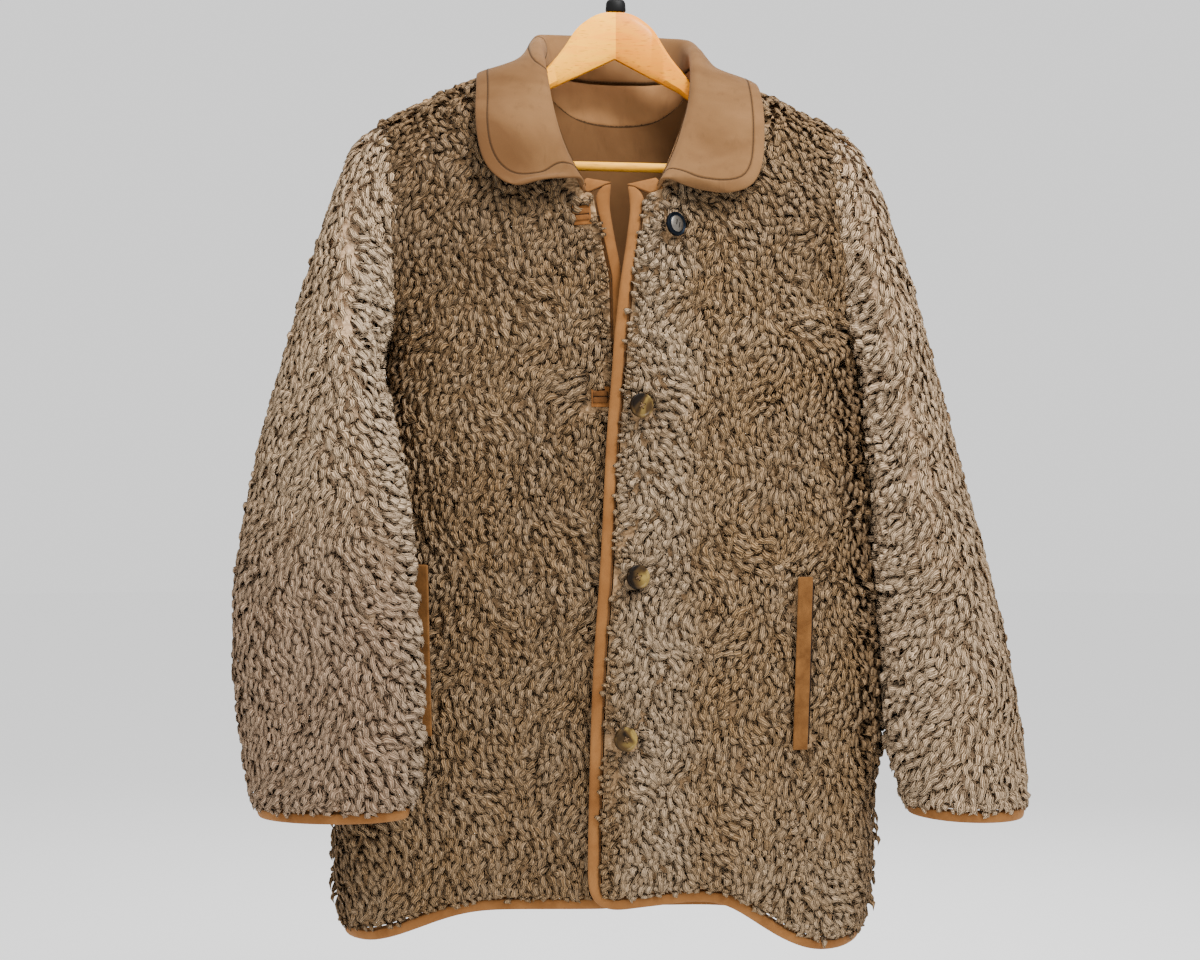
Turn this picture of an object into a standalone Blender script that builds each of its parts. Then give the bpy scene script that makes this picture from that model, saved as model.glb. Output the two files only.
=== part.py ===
"""Teddy coat hanging on a wooden hanger: panels of long-pile cloth with suede inside, a suede collar,
suede-bound edges, pocket welts, four buttonholes and four buttons.

+Z is up, the coat faces -Y, and the origin is the inner top of the hanger's hook. Right and left are the
wearer's, so the right front is at -X. A panel's outer points lie at the tips of its pile.

A level is a height on the body: 0 at the hem, 1 at the underarm, 2 where the shoulder starts to round
over, 3 at the shoulder seam and the neck. Tables hold millimetres, apart from their first column."""

import math

import bmesh
import bpy
import numpy as np
from mathutils import Matrix
from mathutils.bvhtree import BVHTree

MM = 0.001
RIGHT, LEFT = -1, 1  # the wearer's sides, as signs of X

# Cloth
WALL = 12 * MM  # base cloth and the pile on it
SEAM_GAP = 0.3 * MM
BINDING_GAP = 0.65 * MM  # a panel's rim twists a little, and the binding goes straight along it
SUEDE = 3.6 * MM  # the collar's two layers
BINDING_WIDTH = 13 * MM
BINDING_THICK = 7 * MM
ARMHOLE_HALF_DEPTH = 62 * MM
SIDE_ROUNDNESS = 2.4  # exponent of the body's plan outline
COLLAR_ROLL = 7 * MM  # radius of the fold where the collar turns over
COLLAR_CROWN = 0.09  # how far the fall bows out, as a share of its width
FALL_SHARES = (0.17, 0.36, 0.56, 0.78, 1)  # where the fall's points lie, from the roll to its edge
SEAM_IN_STAND = 0.48  # how far up the stand the seam with the fall lies
COLLAR_CLEARANCE = 4.2 * MM  # from the panels' pile to the middle of the fall
MOST_SUNK = 12 * MM  # a point further off than this lies over the neck's edge, not in a panel
FALL_ON_PANELS = 8  # the first point of a collar section that lies over the panels
STAND_GAP = 0.9 * MM
STAND_INWARD = 0.58  # where on the rim the stand starts, from the pile's side to the lining's
STAND_END_GAP = 2.8 * MM  # from each end of the stand to the bound neck edge
STAND_START = 3.4 * MM  # the stand first rises square to the rim by this much

# Fastenings
BUTTON_DIAMETER = 23 * MM
BUTTON_THICK = 4.5 * MM
BUTTON_HOLE = 2.2 * MM
BUTTON_HOLE_SPACING = 5.2 * MM
BUTTON_GAP = 1.6 * MM  # from the panel to the button's back
BUTTON_FACES_FRONT = 0.6  # how far a button turns from the panel's normal towards the front
TURNED_STEPS = 20
AXIS_MERGE = 0.01 * MM  # points of a turned profile nearer the axis than this lie on it
WELT_WIDTH = 14.5 * MM
WELT_THICK = 3 * MM
BUTTONHOLE_WIDTH = 18 * MM
BUTTONHOLE_HEIGHT = 20 * MM
BUTTONHOLE_THICK = 1.8 * MM
RESTING_GAP = 0.9 * MM  # between a panel and what is sewn on it

# Hanger
ARM_THICK = 15 * MM
BAR_RADIUS = 4.8 * MM
BAR_PLACE = (-20 * MM, -219 * MM)  # y, z
BAR_HALF_LENGTH = 190 * MM
HOOK_WIRE = 2 * MM
HOOK_RADIUS = 20 * MM
WOOD_TOP = -62 * MM
HANGER_TILT = math.radians(1.5)  # the wearer's left end hangs lower
WOOD_SLOT = 0.35 * MM  # all round the bar and the wire, where they go into the arms
HOOK_CLEARANCE = 0.5 * MM  # round the wire in its plastic collar
HOOK_COLLAR_OVAL = 0.6  # its depth as a share of its width

# Shares of a front panel's width at its columns: to the neck point, then along the shoulder
NECK_SHARE = 0.375
NECK_COLUMNS = (0, 0.05, 0.16, 0.28, 0.42, 0.60, 0.80, 1)
NECK_BOUND = (0, 3)  # the columns between which the neck edge is bound
SHOULDER_COLUMNS = (0.17, 0.34, 0.51, 0.67, 0.81, 0.92, 1)
BACK_NECK_COLUMNS = (0, 0.25, 0.5, 0.75, 1)
LOWER_LEVELS = (0.0075, 0.026, *np.linspace(0.09, 0.93, 12), 0.97, 1)
ARMHOLE_STEPS = 5
SHOULDER_STEPS = 6


def table(columns, rows):
    """Named columns of a table in metres, but for the first, which is a station without a unit."""
    names = columns.split()
    values = np.array(rows, float)
    units = [1] + [MM] * (len(names) - 1)
    return {name: values[:, i] * units[i] for i, name in enumerate(names)}


def smooth(rows, names, at):
    """A smooth curve through the named columns, read at stations of the first column."""
    at = np.atleast_1d(np.asarray(at, float))
    stations = next(iter(rows.values()))
    step = np.diff(stations)
    cell = np.clip(np.searchsorted(stations, at, side="right") - 1, 0, len(step) - 1)
    t = (at - stations[cell]) / step[cell]
    found = []
    for name in names.split():
        values = rows[name]
        slope = np.diff(values) / step
        product = slope[:-1] * slope[1:]
        total = np.where(slope[:-1] + slope[1:] == 0, 1, slope[:-1] + slope[1:])
        middle = np.where(product > 0, 2 * product / total, 0)  # never past its neighbours
        tangent = np.concatenate([slope[:1], middle, slope[-1:]])
        start, end = values[cell], values[cell + 1]
        leave, arrive = tangent[cell] * step[cell], tangent[cell + 1] * step[cell]
        found.append(
            start * (2 * t**3 - 3 * t**2 + 1)
            + leave * (t**3 - 2 * t**2 + t)
            + end * (3 * t**2 - 2 * t**3)
            + arrive * (t**3 - t**2)
        )
    return np.stack(found, -1)


def unit(vectors):
    return vectors / np.maximum(np.linalg.norm(vectors, axis=-1, keepdims=True), 1e-12)


def ease(value, low, high):
    t = np.clip((np.asarray(value, float) - low) / (high - low), 0, 1)
    return t * t * (3 - 2 * t)


# ---------------------------------------------------------------- outlines of the coat

# The finished edge of each front, binding included
FRONT_EDGE = {
    RIGHT: table(
        "level x y z",
        [
            (0, 22.6, -82, -934),
            (0.4, 22.6, -86, -722),
            (0.61, 22, -86, -607),
            (0.85, 13, -84, -479),
            (1, 8.5, -83, -400),
            (2, 6.5, -81, -330),
            (3, -8.8, -76, -245),
        ],
    ),
    LEFT: table(
        "level x y z",
        [
            (0, -28, -99, -934),
            (0.13, -27, -100, -865),
            (0.4, -23, -104, -722),
            (0.61, -15.5, -104, -607),
            (0.85, -9.5, -102, -479),
            (1, -3.5, -100, -400),
            (2, 4, -97, -330),
            (3, 14.6, -88, -247),
        ],
    ),
}

SIDE_SEAM = {
    RIGHT: table(
        "level x y z",
        [
            (0, -274, 2, -974),
            (0.09, -282, 2, -920),
            (0.22, -281, 1, -845),
            (0.4, -263, 0, -740),
            (0.63, -244, 0, -600),
            (0.88, -228, 0, -455),
            (1, -223, 0, -385),
        ],
    ),
    LEFT: table(
        "level x y z",
        [
            (0, 246, 2, -977),
            (0.09, 256, 2, -922),
            (0.22, 257.5, 1, -845),
            (0.4, 259, 0, -740),
            (0.63, 251.5, 0, -600),
            (0.88, 239.5, 0, -455),
            (1, 232, 0, -385),
        ],
    ),
}

# Where the armhole crosses each level, and its lowest and highest points
ARMHOLE = {
    RIGHT: table("level x", [(1, -223), (1.5, -217), (2, -214), (2.5, -216), (3, -222)]),
    LEFT: table("level x", [(1, 232), (1.5, 224), (2, 216), (2.5, 211), (3, 207)]),
}
SHOULDER_TIP = {RIGHT: (-222, 0, -168), LEFT: (207, 0, -178)}
UNDERARM_Z = -385 * MM

# From the front corner (0) to the neck point (1), and on along the shoulder seam to its tip (2)
FRONT_NECK = {
    RIGHT: table(
        "share x y z",
        [
            (0, -8.8, -76, -245),
            (0.28, -29, -76, -240),
            (0.42, -40, -73, -231),
            (0.6, -58, -61, -203),
            (0.8, -76, -38, -160),
            (1, -88, 0, -111),
        ],
    ),
    LEFT: table(
        "share x y z",
        [
            (0, 14.6, -88, -247),
            (0.28, 38, -88, -240),
            (0.42, 50, -84, -231),
            (0.6, 64, -70, -205),
            (0.8, 79, -42, -163),
            (1, 88, 0, -118),
        ],
    ),
}
SHOULDER_SEAM = {
    RIGHT: table("share x z", [(0, -88, -111), (0.42, -143, -131), (1, -222, -168)]),
    LEFT: table("share x z", [(0, 88, -118), (0.6, 159, -151), (1, 207, -178)]),
}

# The lowest edge of each front, binding included, from its front edge to the side seam
FRONT_HEM = {
    RIGHT: table(
        "share z",
        [
            (0, -934),
            (0.3, -935),
            (0.457, -936),
            (0.6, -943),
            (0.765, -962),
            (0.883, -973),
            (1, -974),
        ],
    ),
    LEFT: table(
        "share z",
        [
            (0, -934),
            (0.2, -928),
            (0.35, -924),
            (0.46, -927),
            (0.616, -951),
            (0.765, -975),
            (0.85, -979),
            (1, -977),
        ],
    ),
}

BACK_CENTRE = table(
    "level x y z",
    [
        (0, -8, 84, -960),
        (0.3, -6, 74, -790),
        (0.6, -3, 68, -620),
        (1, 0, 72, -400),
        (2, 0, 74, -290),
        (3, 0, 54, -169),
    ],
)
BACK_HEM = table("share z", [(0, -960), (0.4, -958), (0.75, -966), (1, -975)])
BACK_NECK = table(
    "share x y z",
    [
        (0, 0, 54, -169),
        (0.3, 29, 52, -167),
        (0.6, 56, 43, -159),
        (0.85, 77, 22, -138),
        (1, 88, 0, -114.5),
    ],
)

# Outer and inner side of each sleeve's rings, and half their depth
SLEEVE = {
    RIGHT: table(
        "ring outer_x outer_y outer_z inner_x inner_y inner_z half_depth",
        [
            (1, -242, 0, -177, -226, -5, -395, 62),
            (2, -258, -2, -194, -230, -16, -407, 62),
            (3, -271, -6, -223, -230, -36, -421, 61),
            (4, -283, -13, -263, -224, -58, -437, 58),
            (5, -297, -22, -313, -216, -77, -458, 55),
            (6, -312, -30, -371, -210, -89, -487, 53),
            (7, -328, -37, -431, -202, -100, -525, 52),
            (8, -343, -42, -490, -196, -107, -570, 50),
            (9, -356, -47, -550, -191, -114, -615, 48),
            (10, -366, -52, -610, -187, -119, -660, 47),
            (11, -369, -55, -668, -184, -122, -703, 47),
            (12, -365, -58, -728, -182, -124, -748, 46),
            (13, -358, -59, -782, -183, -125, -789, 46),
            (14, -348, -60, -834, -188, -124, -828, 45),
        ],
    ),
    LEFT: table(
        "ring outer_x outer_y outer_z inner_x inner_y inner_z half_depth",
        [
            (1, 225, 0, -185, 235.5, 0, -395, 62),
            (2, 240, -2, -200, 238.5, -3, -407, 63),
            (3, 254, -4, -226, 241, -7, -422, 64),
            (4, 268, -6, -262, 243, -11, -439, 65),
            (5, 285, -8, -312, 245.5, -15, -460, 66),
            (6, 301, -10, -370, 248, -19, -487, 66),
            (7, 317, -12, -430, 250.5, -23, -525, 66),
            (8, 331, -14, -490, 253.5, -26, -570, 66),
            (9, 345, -16, -550, 256.5, -29, -615, 65),
            (10, 361, -18, -610, 259.5, -31, -660, 65),
            (11, 376, -20, -668, 262.5, -33, -703, 64),
            (12, 389, -21, -728, 265, -34, -748, 64),
            (13, 399, -22, -784, 268, -34, -793, 63),
            (14, 402, -22, -838, 276, -33, -837, 62),
        ],
    ),
}
RING_ZERO_HOLD = (1, 0.75, 0.5, 0.3, 0.15, 0.05)  # how much of the armhole's own form each ring keeps

NECK_MIDDLE = (0, 0, -60)  # a point that the whole rim of the neck looks towards

# The line where the collar turns over and its outer edge, from the right front to the left one
COLLAR = table(
    "share roll_x roll_y roll_z edge_x edge_y edge_z",
    [
        (0, -33, -89, -238, -92, -92, -248),
        (0.04, -44, -86, -226, -115, -91, -240),
        (0.08, -52, -78, -208, -129, -86, -220),
        (0.12, -57, -66, -184, -134.5, -76, -193),
        (0.18, -62, -47, -152, -136, -58, -163),
        (0.23, -66, -24, -121, -135, -36, -144),
        (0.28, -69, 2, -101, -133, -12, -136),
        (0.33, -72, 24, -86, -127, 18, -139),
        (0.38, -73, 43, -75, -112, 54, -150),
        (0.44, -47, 60, -72, -64, 88, -161),
        (0.50, 0, 68, -71, 0, 103, -167),
        (0.56, 47, 60, -75, 66, 88, -163),
        (0.62, 67, 43, -81, 114, 54, -155),
        (0.67, 71, 24, -92, 129, 18, -145),
        (0.72, 71, 2, -105, 135, -10, -141),
        (0.77, 73, -24, -126, 138.5, -34, -153),
        (0.82, 73.5, -47, -157, 142, -56, -175),
        (0.88, 69, -68, -192, 142.5, -77, -206),
        (0.92, 62, -82, -214, 138, -92, -234),
        (0.96, 54, -91, -228, 124, -98, -253),
        (1, 44, -97, -239, 101, -101, -255),
    ],
)

# Soft folds of the cloth: where on a panel, how far across, how deep (a ridge is positive)
FRONT_FOLDS = {
    RIGHT: table(
        "share_at width depth low high",
        [
            (0.22, 60, 4, 0, 700),
            (0.45, 70, -4, 0, 1000),
            (0.66, 50, 5, 100, 1200),
            (0.35, 60, 4, 1000, 2400),
        ],
    ),
    LEFT: table(
        "share_at width depth low high",
        [
            (0.28, 60, -4, 0, 900),
            (0.5, 60, 5, 0, 1300),
            (0.7, 50, -4, 100, 1500),
            (0.35, 70, 4, 1300, 2500),
        ],
    ),
}
BACK_FOLDS = table(
    "share_at width depth low high",
    [
        (-0.62, 70, 5, 0, 1100),
        (-0.36, 60, -5, 0, 900),
        (-0.05, 70, 5, 0, 1300),
        (0.27, 60, -6, 0, 1000),
        (0.58, 70, 5, 0, 1400),
        (-0.7, 60, -5, 1200, 2600),
        (0.72, 60, -5, 1200, 2600),
    ],
)
SLEEVE_FOLDS = {
    RIGHT: table(
        "ring_at around depth",
        [
            (4.5, -40, -4),
            (6.5, 30, -5),
            (8.5, -60, 4),
            (10.5, 20, -4),
            (12, 140, 4),
            (7.5, 190, -6),
            (10, 160, 4),
        ],
    ),
    LEFT: table(
        "ring_at around depth",
        [
            (4.5, 10, -4),
            (6, -50, 4),
            (8, 20, -5),
            (10, 60, 4),
            (11.5, -20, -4),
            (7.5, 150, -6),
            (10.5, 190, 4),
        ],
    ),
}


# ---------------------------------------------------------------- surfaces of the panels


def armhole(side, face, level):
    """Points of the armhole edge, on the front (face -1) or the back (face 1)."""
    turn = (np.asarray(level, float) - 2) * math.pi / 2
    low, high = UNDERARM_Z, SHOULDER_TIP[side][2] * MM
    x = smooth(ARMHOLE[side], "x", level)[:, 0]
    y = face * ARMHOLE_HALF_DEPTH * np.cos(turn)
    z = (low + high) / 2 + (high - low) / 2 * np.sin(turn)
    return np.stack([x, y, z], -1)


def armhole_loop(side):
    """The whole armhole: up the front from the underarm, then down the back."""
    levels = np.concatenate(
        [np.linspace(1, 2, ARMHOLE_STEPS + 1), 2 + np.linspace(0, 1, SHOULDER_STEPS + 1)[1:]]
    )
    front = armhole(side, -1, levels)
    back = armhole(side, 1, levels[::-1][1:-1])
    return np.concatenate([front, back])


def armhole_inward(side):
    """For each point of the loop, the direction across the wall, towards the loop's middle."""
    loop = armhole_loop(side)
    along = unit(np.roll(loop, -1, 0) - np.roll(loop, 1, 0))
    across = loop.mean(0) - loop
    return unit(across - (across * along).sum(-1, keepdims=True) * along)


def outer_edge(side, face, levels):
    """The side seam below the underarm and the armhole above it."""
    low = smooth(SIDE_SEAM[side], "x y z", np.minimum(levels, 1))
    high = armhole(side, face, np.maximum(levels, 1))
    return np.where((levels > 1)[:, None], high, low)


def body_levels():
    return np.array(
        [0, *LOWER_LEVELS]
        + list(1 + np.arange(1, ARMHOLE_STEPS + 1) / ARMHOLE_STEPS)
        + list(2 + np.arange(1, SHOULDER_STEPS + 1) / SHOULDER_STEPS)
    )


def half_panel(inner_edge, outer, top, hem, shares, levels):
    """Outer points of a front, or of half the back, between its inner edge and its side."""
    body = levels <= 2
    rise = levels[body]
    inner, side = inner_edge[body], outer[body]
    rounded = 1 - (1 - shares**SIDE_ROUNDNESS) ** (1 / SIDE_ROUNDNESS)
    flat = shares**2.4
    open_side = ease(rise, 0.95, 1.7)[:, None]
    drop = (1 - open_side) * rounded + open_side * flat
    x = inner[:, None, 0] + (side[:, None, 0] - inner[:, None, 0]) * shares
    y = inner[:, None, 1] + (side[:, None, 1] - inner[:, None, 1]) * drop
    z = inner[:, None, 2] + (side[:, None, 2] - inner[:, None, 2]) * shares
    at_underarm = z[np.searchsorted(rise, 1)]
    low = (rise < 1)[:, None]
    from_hem = hem[None, :] + (at_underarm[None, :] - hem[None, :]) * rise[:, None]
    z = np.where(low, from_hem, z)
    below = np.stack([x, y, z], -1)
    turn = (levels[~body] - 2) * math.pi / 2
    last = below[-1]
    # A column ends straight at the neck, and rounded over at the shoulder
    ridge = ease(shares, 0.3 * NECK_SHARE, NECK_SHARE + 0.35 * (1 - NECK_SHARE))
    straight = (1 - ridge) * (levels[~body] - 2)[:, None]
    level_share = (straight + ridge * (1 - np.cos(turn))[:, None])[..., None]
    rise_share = (straight + ridge * np.sin(turn)[:, None])[..., None]
    over = last + (top - last) * np.concatenate([level_share, level_share, rise_share], -1)
    # The armhole edge keeps its own curve over the shoulder
    over[:, -1] = outer[~body]
    points = np.concatenate([below, over])
    points[levels < 1, -1] = outer[levels < 1]
    return points


def folded(points, shares, levels, folds, face, width):
    """Pushes the panel's points out along the folds' ridges and in along their troughs."""
    middle = ease(np.abs(shares), 0.03, 0.16) if face < 0 else np.ones(len(shares))
    window = middle * (1 - ease(np.abs(shares), 0.8, 0.97))
    for at, across, depth, low, high in zip(*folds.values()):
        lean = (levels - 1) * 0.04
        offset = (shares[None, :] - at - lean[:, None]) * width
        tall = ease(levels, low - 0.2, low + 0.25) * (1 - ease(levels, high - 0.4, high + 0.1))
        push = depth * np.exp(-((offset / (across / 2)) ** 2)) * tall[:, None] * window
        points[..., 1] += face * push
    return points


def front_shares():
    neck = np.array(NECK_COLUMNS) * NECK_SHARE
    shoulder = NECK_SHARE + (1 - NECK_SHARE) * np.array(SHOULDER_COLUMNS)
    return np.concatenate([neck, shoulder])


def shoulder_line(side):
    line = smooth(SHOULDER_SEAM[side], "x z", SHOULDER_COLUMNS)
    return np.stack([line[:, 0], np.zeros(len(line)), line[:, 1]], -1)


def binding_allowance(points, inward_step):
    """Moves an edge in by the width that its binding takes."""
    return points + inward_step * (BINDING_WIDTH + BINDING_GAP)


def front_panel(side):
    levels, shares = body_levels(), front_shares()
    edge = smooth(FRONT_EDGE[side], "x y z", levels)
    edge = binding_allowance(edge, np.array([side, 0.0, 0.0]))
    neck = smooth(FRONT_NECK[side], "x y z", NECK_COLUMNS)
    lowered = 1 - ease(NECK_COLUMNS, 0.28, 0.6)
    neck[:, 2] -= lowered * (BINDING_WIDTH + BINDING_GAP)
    neck[:, 0] += side * (1 - ease(NECK_COLUMNS, 0.05, 0.42)) * (BINDING_WIDTH + BINDING_GAP)
    top = np.concatenate([neck, shoulder_line(side)])
    hem = smooth(FRONT_HEM[side], "z", shares)[:, 0] + BINDING_WIDTH + BINDING_GAP
    outer = outer_edge(side, -1, levels)
    outer[0, 2] = hem[-1]
    outer[:3, 2] = hem[-1] + (outer[3, 2] - hem[-1]) * levels[:3] / levels[3]
    points = half_panel(edge, outer, top, hem, shares, levels)
    width = abs(outer[0, 0] - edge[0, 0])
    return folded(points, shares, levels, FRONT_FOLDS[side], -1, width), levels, shares


def back_panel():
    levels = body_levels()
    halves = []
    for side in (RIGHT, LEFT):
        neck = smooth(BACK_NECK, "x y z", BACK_NECK_COLUMNS)
        neck[:, 0] *= side
        tip = FRONT_NECK[side]
        neck[:, 2] += (tip["z"][-1] - neck[-1, 2]) * np.array(BACK_NECK_COLUMNS)
        top = np.concatenate([neck, shoulder_line(side)])
        shares = np.concatenate(
            [
                np.array(BACK_NECK_COLUMNS) * NECK_SHARE,
                NECK_SHARE + (1 - NECK_SHARE) * np.array(SHOULDER_COLUMNS),
            ]
        )
        hem = smooth(BACK_HEM, "z", shares)[:, 0]
        side_hem = SIDE_SEAM[side]["z"][0]
        hem = hem + (side_hem - hem[-1]) * shares**2 + BINDING_WIDTH + BINDING_GAP
        centre = smooth(BACK_CENTRE, "x y z", levels)
        outer = outer_edge(side, 1, levels)
        outer[0, 2] = hem[-1]
        outer[:3, 2] = hem[-1] + (outer[3, 2] - hem[-1]) * levels[:3] / levels[3]
        points = half_panel(centre, outer, top, hem, shares, levels)
        halves.append((points, shares))
    (right, shares), (left, _) = halves
    points = np.concatenate([right[:, ::-1], left[:, 1:]], 1)
    shares = np.concatenate([-shares[::-1], shares[1:]])
    return folded(points, shares, levels, BACK_FOLDS, 1, 260 * MM), levels, shares


def normals(points, closed=False):
    """Unit normals of a grid, from its rows and columns."""
    along = np.gradient(points, axis=0)
    if closed:
        around = np.roll(points, -1, 1) - np.roll(points, 1, 1)
    else:
        around = np.gradient(points, axis=1)
    return unit(np.cross(around, along))


def panel_inward(points, levels, sides, face):
    """Directions from the outer points to the inner ones, shared with the neighbours at each seam."""
    inward = normals(points)
    inward *= -np.sign((inward[..., 1] * face).sum())
    for column, side in sides:
        near_arm = ease(levels, 0.955, 1)[:, None]
        across = np.array([-side, 0, 0]) * (1 - near_arm) + np.array([0, 0, 1.0]) * near_arm
        inward[:, column] = unit(across)
        loop = armhole_inward(side)
        rows = np.flatnonzero(levels >= 1)
        order = np.arange(len(rows)) if face < 0 else -np.arange(len(rows)) % len(loop)
        inward[rows, column] = loop[order]
        step = 1 if column == 0 else -1
        seam = column + step * np.arange(len(SHOULDER_COLUMNS) + 1)
        line = points[-1, seam]
        along = unit(np.gradient(line, axis=0))
        down = np.array([0, 0, -1.0]) - along * (-along[:, 2:3])
        down[:, 1] = 0
        inward[-1, seam[1:]] = unit(down)[1:]
    return inward


def inset(points, inward):
    """Draws a grid's border in by half the seam's gap, and gives its outer and inner points."""
    shift = np.zeros_like(points)
    for edge, near in ((0, 1), (-1, -2)):
        shift[:, edge] += SEAM_GAP / 2 * square_to(points[:, edge], points[:, near])
        shift[edge] += SEAM_GAP / 2 * square_to(points[edge], points[near])
    outer = points + shift
    return outer, outer + inward * WALL


def square_to(border, near):
    """Unit directions from a border to the points beside it, square to the border."""
    along = unit(np.gradient(border, axis=0))
    to = near - border
    return unit(to - (to * along).sum(-1, keepdims=True) * along)


def rounded_corner(grid):
    """Rounds the lower front corner of a grid, whose first two cells each way hold the curve."""
    low, right = grid[0, 0].copy(), grid[0, 2].copy()
    up, far = grid[2, 0].copy(), grid[2, 2].copy()
    stations = np.array([0, 0.29, 1])
    for row in range(3):
        for column in range(3):
            p, q = 1 - stations[column], 1 - stations[row]
            if max(p, q) == 0:
                continue
            turn = math.pi / 4 * (q / p if p >= q else 2 - p / q)
            s = 1 - max(p, q) * math.cos(turn)
            t = 1 - max(p, q) * math.sin(turn)
            grid[row, column] = (
                low * (1 - s) * (1 - t) + right * s * (1 - t) + up * (1 - s) * t + far * s * t
            )
    return grid


# ---------------------------------------------------------------- making the solids


def plain_material(name, colour, roughness=0.8, metallic=0.0):
    material = bpy.data.materials.new(name)
    material.use_nodes = True
    shader = material.node_tree.nodes["Principled BSDF"]
    shader.inputs["Base Color"].default_value = (*colour, 1)
    shader.inputs["Roughness"].default_value = roughness
    shader.inputs["Metallic"].default_value = metallic
    return material


def add_object(name, mesh, material):
    mesh.materials.append(material)
    thing = bpy.data.objects.new(name, mesh)
    COLLECTION.objects.link(thing)
    return thing


def solid(name, points, faces, material):
    """One closed object of these points and faces, its faces turned outwards."""
    mesh = bpy.data.meshes.new(name)
    work = bmesh.new()
    verts = [work.verts.new(point) for point in points]
    for face in faces:
        work.faces.new([verts[i] for i in face])
    bmesh.ops.recalc_face_normals(work, faces=work.faces)
    if work.calc_volume(signed=True) < 0:
        bmesh.ops.reverse_faces(work, faces=work.faces)
    work.to_mesh(mesh)
    work.free()
    mesh.shade_smooth()
    mesh.set_sharp_from_angle(angle=math.radians(50))
    return add_object(name, mesh, material)


def rim_faces(a, b, shift, points):
    """The strip between an outer edge a-b and the inner one, always split the same way up."""
    if points[a][2] > points[b][2]:
        a, b = b, a
    return [(a, b, b + shift), (a, b + shift, a + shift)]


def wall(name, outer, inner, material, closed=False):
    """A wall between two like grids, with a rim along each free border."""
    rows, columns = outer.shape[:2]
    points = np.concatenate([outer.reshape(-1, 3), inner.reshape(-1, 3)])
    shift = rows * columns
    index = np.arange(shift).reshape(rows, columns)
    faces = []
    for row in range(rows - 1):
        for column in range(columns if closed else columns - 1):
            after = (column + 1) % columns
            low, high = index[row], index[row + 1]
            quad = (low[column], low[after], high[after], high[column])
            faces.append(quad)
            faces.append(tuple(i + shift for i in reversed(quad)))
    borders = []
    for row in (0, rows - 1):
        around = list(index[row]) + ([index[row, 0]] if closed else [])
        borders += list(zip(around, around[1:]))
    if not closed:
        for column in (0, columns - 1):
            borders += list(zip(index[:, column], index[1:, column]))
    for a, b in borders:
        faces += rim_faces(int(a), int(b), shift, points)
    return solid(name, points.tolist(), [tuple(int(i) for i in face) for face in faces], material)


def swept(name, sections, material, closed=False):
    """A solid through sections of equal point count, capped at both ends unless it closes on itself."""
    count, around = sections.shape[:2]
    index = np.arange(count * around).reshape(count, around)
    faces = []
    for i in range(count if closed else count - 1):
        after = (i + 1) % count
        for j in range(around):
            k = (j + 1) % around
            faces.append((index[i, j], index[i, k], index[after, k], index[after, j]))
    if not closed:
        faces += [tuple(index[0]), tuple(index[-1])]
    faces = [tuple(int(i) for i in face) for face in faces]
    return solid(name, sections.reshape(-1, 3).tolist(), faces, material)


def binding_sections(outer, inner, outward):
    """The bound edge's section at each point of a wall's border: flush inside, rounded outside."""
    across = unit(outer - inner)
    thick = min(1, BINDING_THICK / WALL)
    profile = (  # share of the wall from its inner side, distance out from the border
        (0.0, 0.0),
        (0.0, 0.78),
        (0.22 * thick, 0.97),
        (0.7 * thick, 1.0),
        (thick, 0.72),
        (thick, 0.0),
    )
    sections = [
        inner + across * (share * WALL) + outward * (BINDING_GAP + out * BINDING_WIDTH)
        for share, out in profile
    ]
    return np.stack(sections, 1)


def border_outward(border, lining, near, closed=False):
    """Unit directions straight out of a wall's rim, from its outer and inner edges."""
    if closed:
        along = np.roll(border, -1, 0) - np.roll(border, 1, 0)
    else:
        along = np.gradient(border, axis=0)
    out = unit(np.cross(along, border - lining))
    return out * np.where(((border - near) * out).sum(-1, keepdims=True) < 0, -1, 1)


def skin_tree(panels, sleeves):
    """A search tree over the coat's outer points alone, its faces turned outwards."""
    points, faces = [], []
    for grid, inward in [*panels, *sleeves]:
        rows, columns = grid.shape[:2]
        flip = (normals(grid) * inward).sum() > 0
        start = len(points)
        points += grid.reshape(-1, 3).tolist()
        index = np.arange(start, start + rows * columns).reshape(rows, columns)
        for row in range(rows - 1):
            for column in range(columns - 1):
                low, high = index[row], index[row + 1]
                quad = [low[column], low[column + 1], high[column + 1], high[column]]
                faces.append([int(i) for i in (quad[::-1] if flip else quad)])
    return BVHTree.FromPolygons(points, faces)


def tree_of(*objects):
    """One search tree over the faces of several objects."""
    points, faces = [], []
    for thing in objects:
        start = len(points)
        points += [vertex.co.copy() for vertex in thing.data.vertices]
        faces += [[start + i for i in polygon.vertices] for polygon in thing.data.polygons]
    return BVHTree.FromPolygons(points, faces)


# ---------------------------------------------------------------- cloth


def make_fronts():
    made = {}
    for side, name in ((RIGHT, "front_right"), (LEFT, "front_left")):
        points, levels, _ = front_panel(side)
        inward = panel_inward(points, levels, [(-1, side)], -1)
        points = rounded_corner(points)
        outer, inner = inset(points, inward)
        wall(name, outer, inner, MATERIALS["pile"])
        made[side] = (points, inward)
    return made


def make_back():
    points, levels, _ = back_panel()
    inward = panel_inward(points, levels, [(0, RIGHT), (points.shape[1] - 1, LEFT)], 1)
    outer, inner = inset(points, inward)
    wall("back", outer, inner, MATERIALS["pile"])
    return points, inward


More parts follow.
